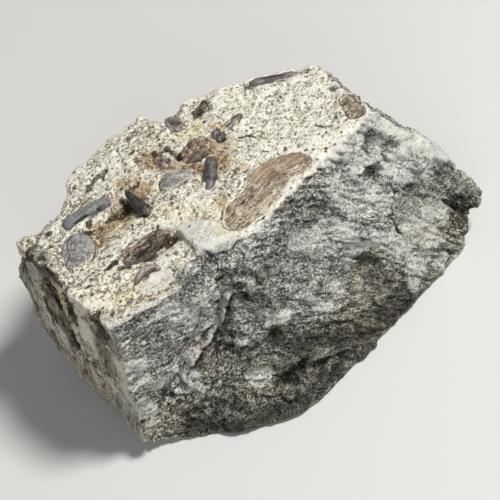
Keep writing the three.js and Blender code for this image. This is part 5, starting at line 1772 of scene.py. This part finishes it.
def coproliteRelief(q):
    # drawn-out fibres that bend round its length, cracks and a stained upper half
    x, y, z = q.T
    turned = np.stack([(x + 0.5 * y) * 0.25, y - 0.25 * x + 0.04 * x ** 2, z], 1)
    lines = np.minimum(lineDistance(q[:, :2], [(-2.2, 3.6), (-2.6, 2.8), (-3.8, 2.4)]),
                       lineDistance(q[:, :2], [(-4.4, 0.6), (-5.2, 0.4), (-6.2, 0.5)]))
    crack = np.exp(-((lines + 0.1 * layeredNoise(q, 0.8, 2, 433)) / 0.16) ** 2)
    lift = 0.16 * ridgedNoise(turned, 1.0, 3, 431) + 0.3 * layeredNoise(q, 3.2, 5, 432) - 0.3 * crack
    hole = 0.8 * smoothStep(1.4, 0.5, np.hypot(x + 7.8, y - 1.6))
    return lift, np.maximum(0.95 * crack, hole), smoothStep(-2, 1.5, x) * smoothStep(0.2, 1.4, y + 0.2 * x)


def rimCoproliteRelief(q):
    turned = q * np.array([1, 0.25, 1])
    lift = 0.25 * ridgedNoise(turned, 0.9, 3, 441) + 0.15 * layeredNoise(q, 1.2, 3, 442)
    return lift, smoothStep(0.2, 0.0, lift) * 0.5, 0


def notchBoneRelief(q):
    lift = 0.34 * layeredNoise(q, 1.3, 4, 451)
    return lift, 0.7 * smoothStep(-0.05, -0.4, lift), 0


# each flat piece: outline in its own axes (two have theirs in plates), thickness, spacing of the mesh,
# rounds of smoothing, how far the middle rises, and how much paler or darker the edge is
slabs = {
    "scale_plate": {
        "outline": [(-4.0, 0.2), (-3.3, 1.9), (-1.4, 2.9), (1.0, 3.1), (3.0, 2.3), (4.0, 0.6), (3.7, -1.2),
                    (2.2, -2.6), (0, -3.1), (-2.2, -2.6), (-3.6, -1.3)],
        "thick": 2.6, "voxel": 0.2, "rounding": 9, "dome": 0.35, "edge": -0.3, "finish": "plateBone",
        "relief": plateRelief},
    "grey_plate": {
        "outline": [(-3.3, -0.9), (-2.4, 0.9), (-0.6, 1.8), (1.0, 1.9), (2.0, 1.1), (3.3, 0.9), (3.2, -0.3),
                    (1.6, -1.2), (-0.6, -1.7), (-2.2, -1.9)],
        "thick": 2.2, "voxel": 0.16, "rounding": 7, "dome": 0.3, "edge": 0.7, "finish": "paleBone",
        "relief": greyPlateRelief},
    "notch_bone_left": {
        "outline": [(-2.6, -0.5), (-1.9, 0.9), (-0.2, 1.4), (1.6, 1.1), (2.6, 0.1), (1.7, -0.9), (0.1, -1.4),
                    (-1.6, -1.3)],
        "thick": 2.4, "voxel": 0.13, "rounding": 4, "dome": 0.5, "edge": -0.3, "finish": "violetBone",
        "relief": notchBoneRelief},
    "rust_nodule": {
        "outline": [(-3.1, -0.4), (-2.4, 1.4), (-0.7, 2.3), (1.3, 2.1), (2.8, 1.0), (3.1, -0.6), (1.9, -1.9),
                    (-0.1, -2.3), (-2.1, -1.8)],
        "thick": 3.0, "voxel": 0.15, "rounding": 12, "dome": 0.6, "edge": -0.3, "finish": "rustNodule",
        "relief": rustRelief},
    "large_coprolite": {
        "thick": 4.0, "voxel": 0.24, "rounding": 6, "dome": 0.5, "edge": 0.7, "finish": "coprolite",
        "relief": coproliteRelief},
    "rim_coprolite": {
        "thick": 3.0, "voxel": 0.17, "rounding": 5, "dome": 0.3, "edge": -0.3, "finish": "coprolite",
        "relief": rimCoproliteRelief},
}


def slabForm(name):
    spec = slabs[name]
    if name in plates:
        place, along = plates[name], (1, 0, 0)
        outline = np.array(place["outline"])
        outline = outline - (outline.min(0) + outline.max(0)) / 2
    else:
        place, along = fossils[name], fossils[name]["along"]
        outline = np.array(spec["outline"])
    half = spec["thick"] / 2
    points, faces = slabMesh(outline, -half, half - spec["dome"], spec["voxel"], spec["rounding"])
    upper = smoothStep(-0.2, 0.4, points[:, 2])
    inner = -outlineDistance(points[:, :2], closedSpline(outline))
    breadth = inner.max()
    points[:, 2] += spec["dome"] * upper * (1 - (1 - np.clip(inner / breadth, 0, 1)) ** 2.2)
    lift, deep, stain = spec["relief"](points)
    points = carved(points, faces, lift * (0.4 + 0.6 * upper))
    paleness = palenessFrom(lift) * 0.7 + spec["edge"] * smoothStep(0.5, 0.1, inner) * upper
    flat = np.zeros(len(points))
    masks = {"paleness": paleness, "deep": deep + flat, "stain": stain + flat}
    setFossil(name, points, faces, spec["finish"], masks, along, place["out"])


for name in slabs:
    slabForm(name)
print("flat pieces")

# small grains set in the stone: grains on each square metre at most, half widths in mm, and how deep they sit
grainSets = {
    "bone_grains": {"Where": "strewDark", "Density": 260000.0, "Smallest": 0.12, "Largest": 0.5,
                    "Sink": 0.35, "Flatness": 0.45, "Roughen": 0.3, "Sides": 8, "Seed": 4,
                    "finish": "darkGrain"},
    "pale_grains": {"Where": "strewPale", "Density": 1000000.0, "Smallest": 0.06, "Largest": 0.16,
                    "Sink": 0.15, "Flatness": 0.6, "Roughen": 0.1, "Sides": 5, "Seed": 9,
                    "finish": "paleGrain"},
}
sizesInMm = ("Smallest", "Largest", "Roughen")


def strewInputs(tree):
    kinds = {"Geometry": ["Geometry"], "String": ["Where"], "Int": ["Sides", "Seed"],
             "Float": ["Density", "Smallest", "Largest", "Sink", "Flatness", "Roughen"],
             "Material": ["Material"]}
    for kind, names in kinds.items():
        for name in names:
            tree.interface.new_socket(name, in_out="INPUT", socket_type="NodeSocket" + kind)
    tree.interface.new_socket("Geometry", in_out="OUTPUT", socket_type="NodeSocketGeometry")
    return tree.nodes.new("NodeGroupInput").outputs


def vectorMath(tree, operation, vector):
    node = tree.nodes.new("ShaderNodeVectorMath")
    node.operation = operation
    tree.links.new(vector, node.inputs[0])
    return node


def along(tree, vector, length):
    node = vectorMath(tree, "SCALE", vector)
    feed(tree, node.inputs["Scale"], length)
    return node.outputs[0]


def anyValue(tree, low, high, seed):
    node = addNode(tree, "FunctionNodeRandomValue", Seed=seed)
    floatLow, floatHigh = 2, 3      # a float's sockets come after the two of the vector
    feed(tree, node.inputs[floatLow], low)
    feed(tree, node.inputs[floatHigh], high)
    return node.outputs[1]


def roughened(tree, geometry, amount):
    place = addNode(tree, "GeometryNodeInputPosition").outputs["Position"]
    wobble = addNode(tree, "ShaderNodeTexNoise", Vector=place, Scale=2500.0)
    centred = vectorMath(tree, "SUBTRACT", wobble.outputs["Color"])
    centred.inputs[1].default_value = (0.5, 0.5, 0.5)
    return addNode(tree, "GeometryNodeSetPosition", Geometry=geometry,
                   Offset=along(tree, centred.outputs[0], amount)).outputs["Geometry"]


def strewTree():
    tree = bpy.data.node_groups.new("strewGrains", "GeometryNodeTree")
    given = strewInputs(tree)
    where = addNode(tree, "GeometryNodeInputNamedAttribute", Name=given["Where"]).outputs["Attribute"]
    spots = addNode(tree, "GeometryNodeDistributePointsOnFaces", Mesh=given["Geometry"], Seed=given["Seed"],
                    Density=times(tree, where, given["Density"]))
    size = anyValue(tree, given["Smallest"], given["Largest"], given["Seed"])
    depth = times(tree, times(tree, size, given["Sink"]), -1.0)
    sunkSpots = addNode(tree, "GeometryNodeSetPosition", Geometry=spots.outputs["Points"],
                        Offset=along(tree, spots.outputs["Normal"], depth))
    ball = addNode(tree, "GeometryNodeMeshUVSphere", Radius=1.0, Segments=given["Sides"], Rings=5)
    turn = addNode(tree, "FunctionNodeAxisAngleToRotation", Angle=anyValue(tree, 0.0, 2 * math.pi, 7))
    turned = addNode(tree, "FunctionNodeRotateRotation", Rotation=spots.outputs["Rotation"],
                     Rotate_By=turn.outputs["Rotation"])
    turned.rotation_space = "LOCAL"
    scale = addNode(tree, "ShaderNodeCombineXYZ", X=size, Y=times(tree, size, anyValue(tree, 0.55, 1.0, 3)),
                    Z=times(tree, size, given["Flatness"]))
    strewn = addNode(tree, "GeometryNodeInstanceOnPoints", Points=sunkSpots.outputs["Geometry"],
                     Instance=ball.outputs["Mesh"], Rotation=turned.outputs["Rotation"],
                     Scale=scale.outputs["Vector"])
    plain = addNode(tree, "GeometryNodeRealizeInstances", Geometry=strewn.outputs["Instances"])
    rough = roughened(tree, plain.outputs["Geometry"], given["Roughen"])
    finished = addNode(tree, "GeometryNodeSetMaterial", Geometry=rough, Material=given["Material"])
    tree.links.new(finished.outputs["Geometry"], tree.nodes.new("NodeGroupOutput").inputs["Geometry"])
    return tree


def strew(name, tree):
    spec = grainSets[name]
    piece = addPiece(name, stonePiece.data.copy())
    piece.data.materials.clear()
    modifier = piece.modifiers.new("strew", "NODES")
    modifier.node_group = tree
    for item in tree.interface.items_tree:
        if item.in_out == "INPUT" and item.name in spec:
            value = spec[item.name]
            modifier[item.identifier] = value * mm if item.name in sizesInMm else value
        elif item.name == "Material":
            modifier[item.identifier] = materials[spec["finish"]]
    mesh = applied(piece)
    low, high = np.array(cadBox[0]) / mm, np.array(cadBox[1]) / mm
    moveTo(mesh, np.clip(coordinates(mesh), low + 0.01, high - 0.01))
    setOwnPlaces(mesh, coordinates(mesh))
    mesh.shade_smooth()
    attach(piece, "root")
    print(name + ",", len(mesh.polygons), "faces")


strewing = strewTree()
for name in grainSets:
    strew(name, strewing)

# lamps: where they stand, and their widths, in m
lamps = {
    "key": {"at": (0.22, -0.2, 0.62), "size": 0.14, "power": 6.0, "colour": (1.0, 0.985, 0.96)},
    "fill": {"at": (-0.42, -0.6, 0.42), "size": 0.5, "power": 2.1, "colour": (0.95, 0.97, 1.0)},
}


def addLight(name):
    spec = lamps[name]
    data = bpy.data.lights.new(name, "AREA")
    data.shape, data.size, data.energy = "DISK", spec["size"], spec["power"]
    data.color = spec["colour"]
    lamp = bpy.data.objects.new(name, data)
    bpy.context.scene.collection.objects.link(lamp)
    lamp.location = spec["at"]
    aim = Vector((0, 0, 0.02)) - Vector(spec["at"])
    lamp.rotation_euler = aim.to_track_quat("-Z", "Y").to_euler()


def addFloor():
    bpy.ops.mesh.primitive_plane_add(size=4)
    floor = bpy.context.object
    floor.name = "floor"
    material, _, shader = startMaterial("floor")
    shader.inputs["Base Color"].default_value = (0.52, 0.52, 0.51, 1)
    shader.inputs["Roughness"].default_value = 0.8
    floor.data.materials.append(material)


def addSurroundings():
    world = bpy.data.worlds.new("studio")
    world.use_nodes = True
    background = world.node_tree.nodes["Background"]
    background.inputs["Color"].default_value = (0.97, 0.98, 1, 1)
    background.inputs["Strength"].default_value = 0.2
    bpy.context.scene.world = world
    bpy.context.scene.view_settings.view_transform = "Standard"


for name in lamps:
    addLight(name)
addFloor()
addSurroundings()
print("floor and light")
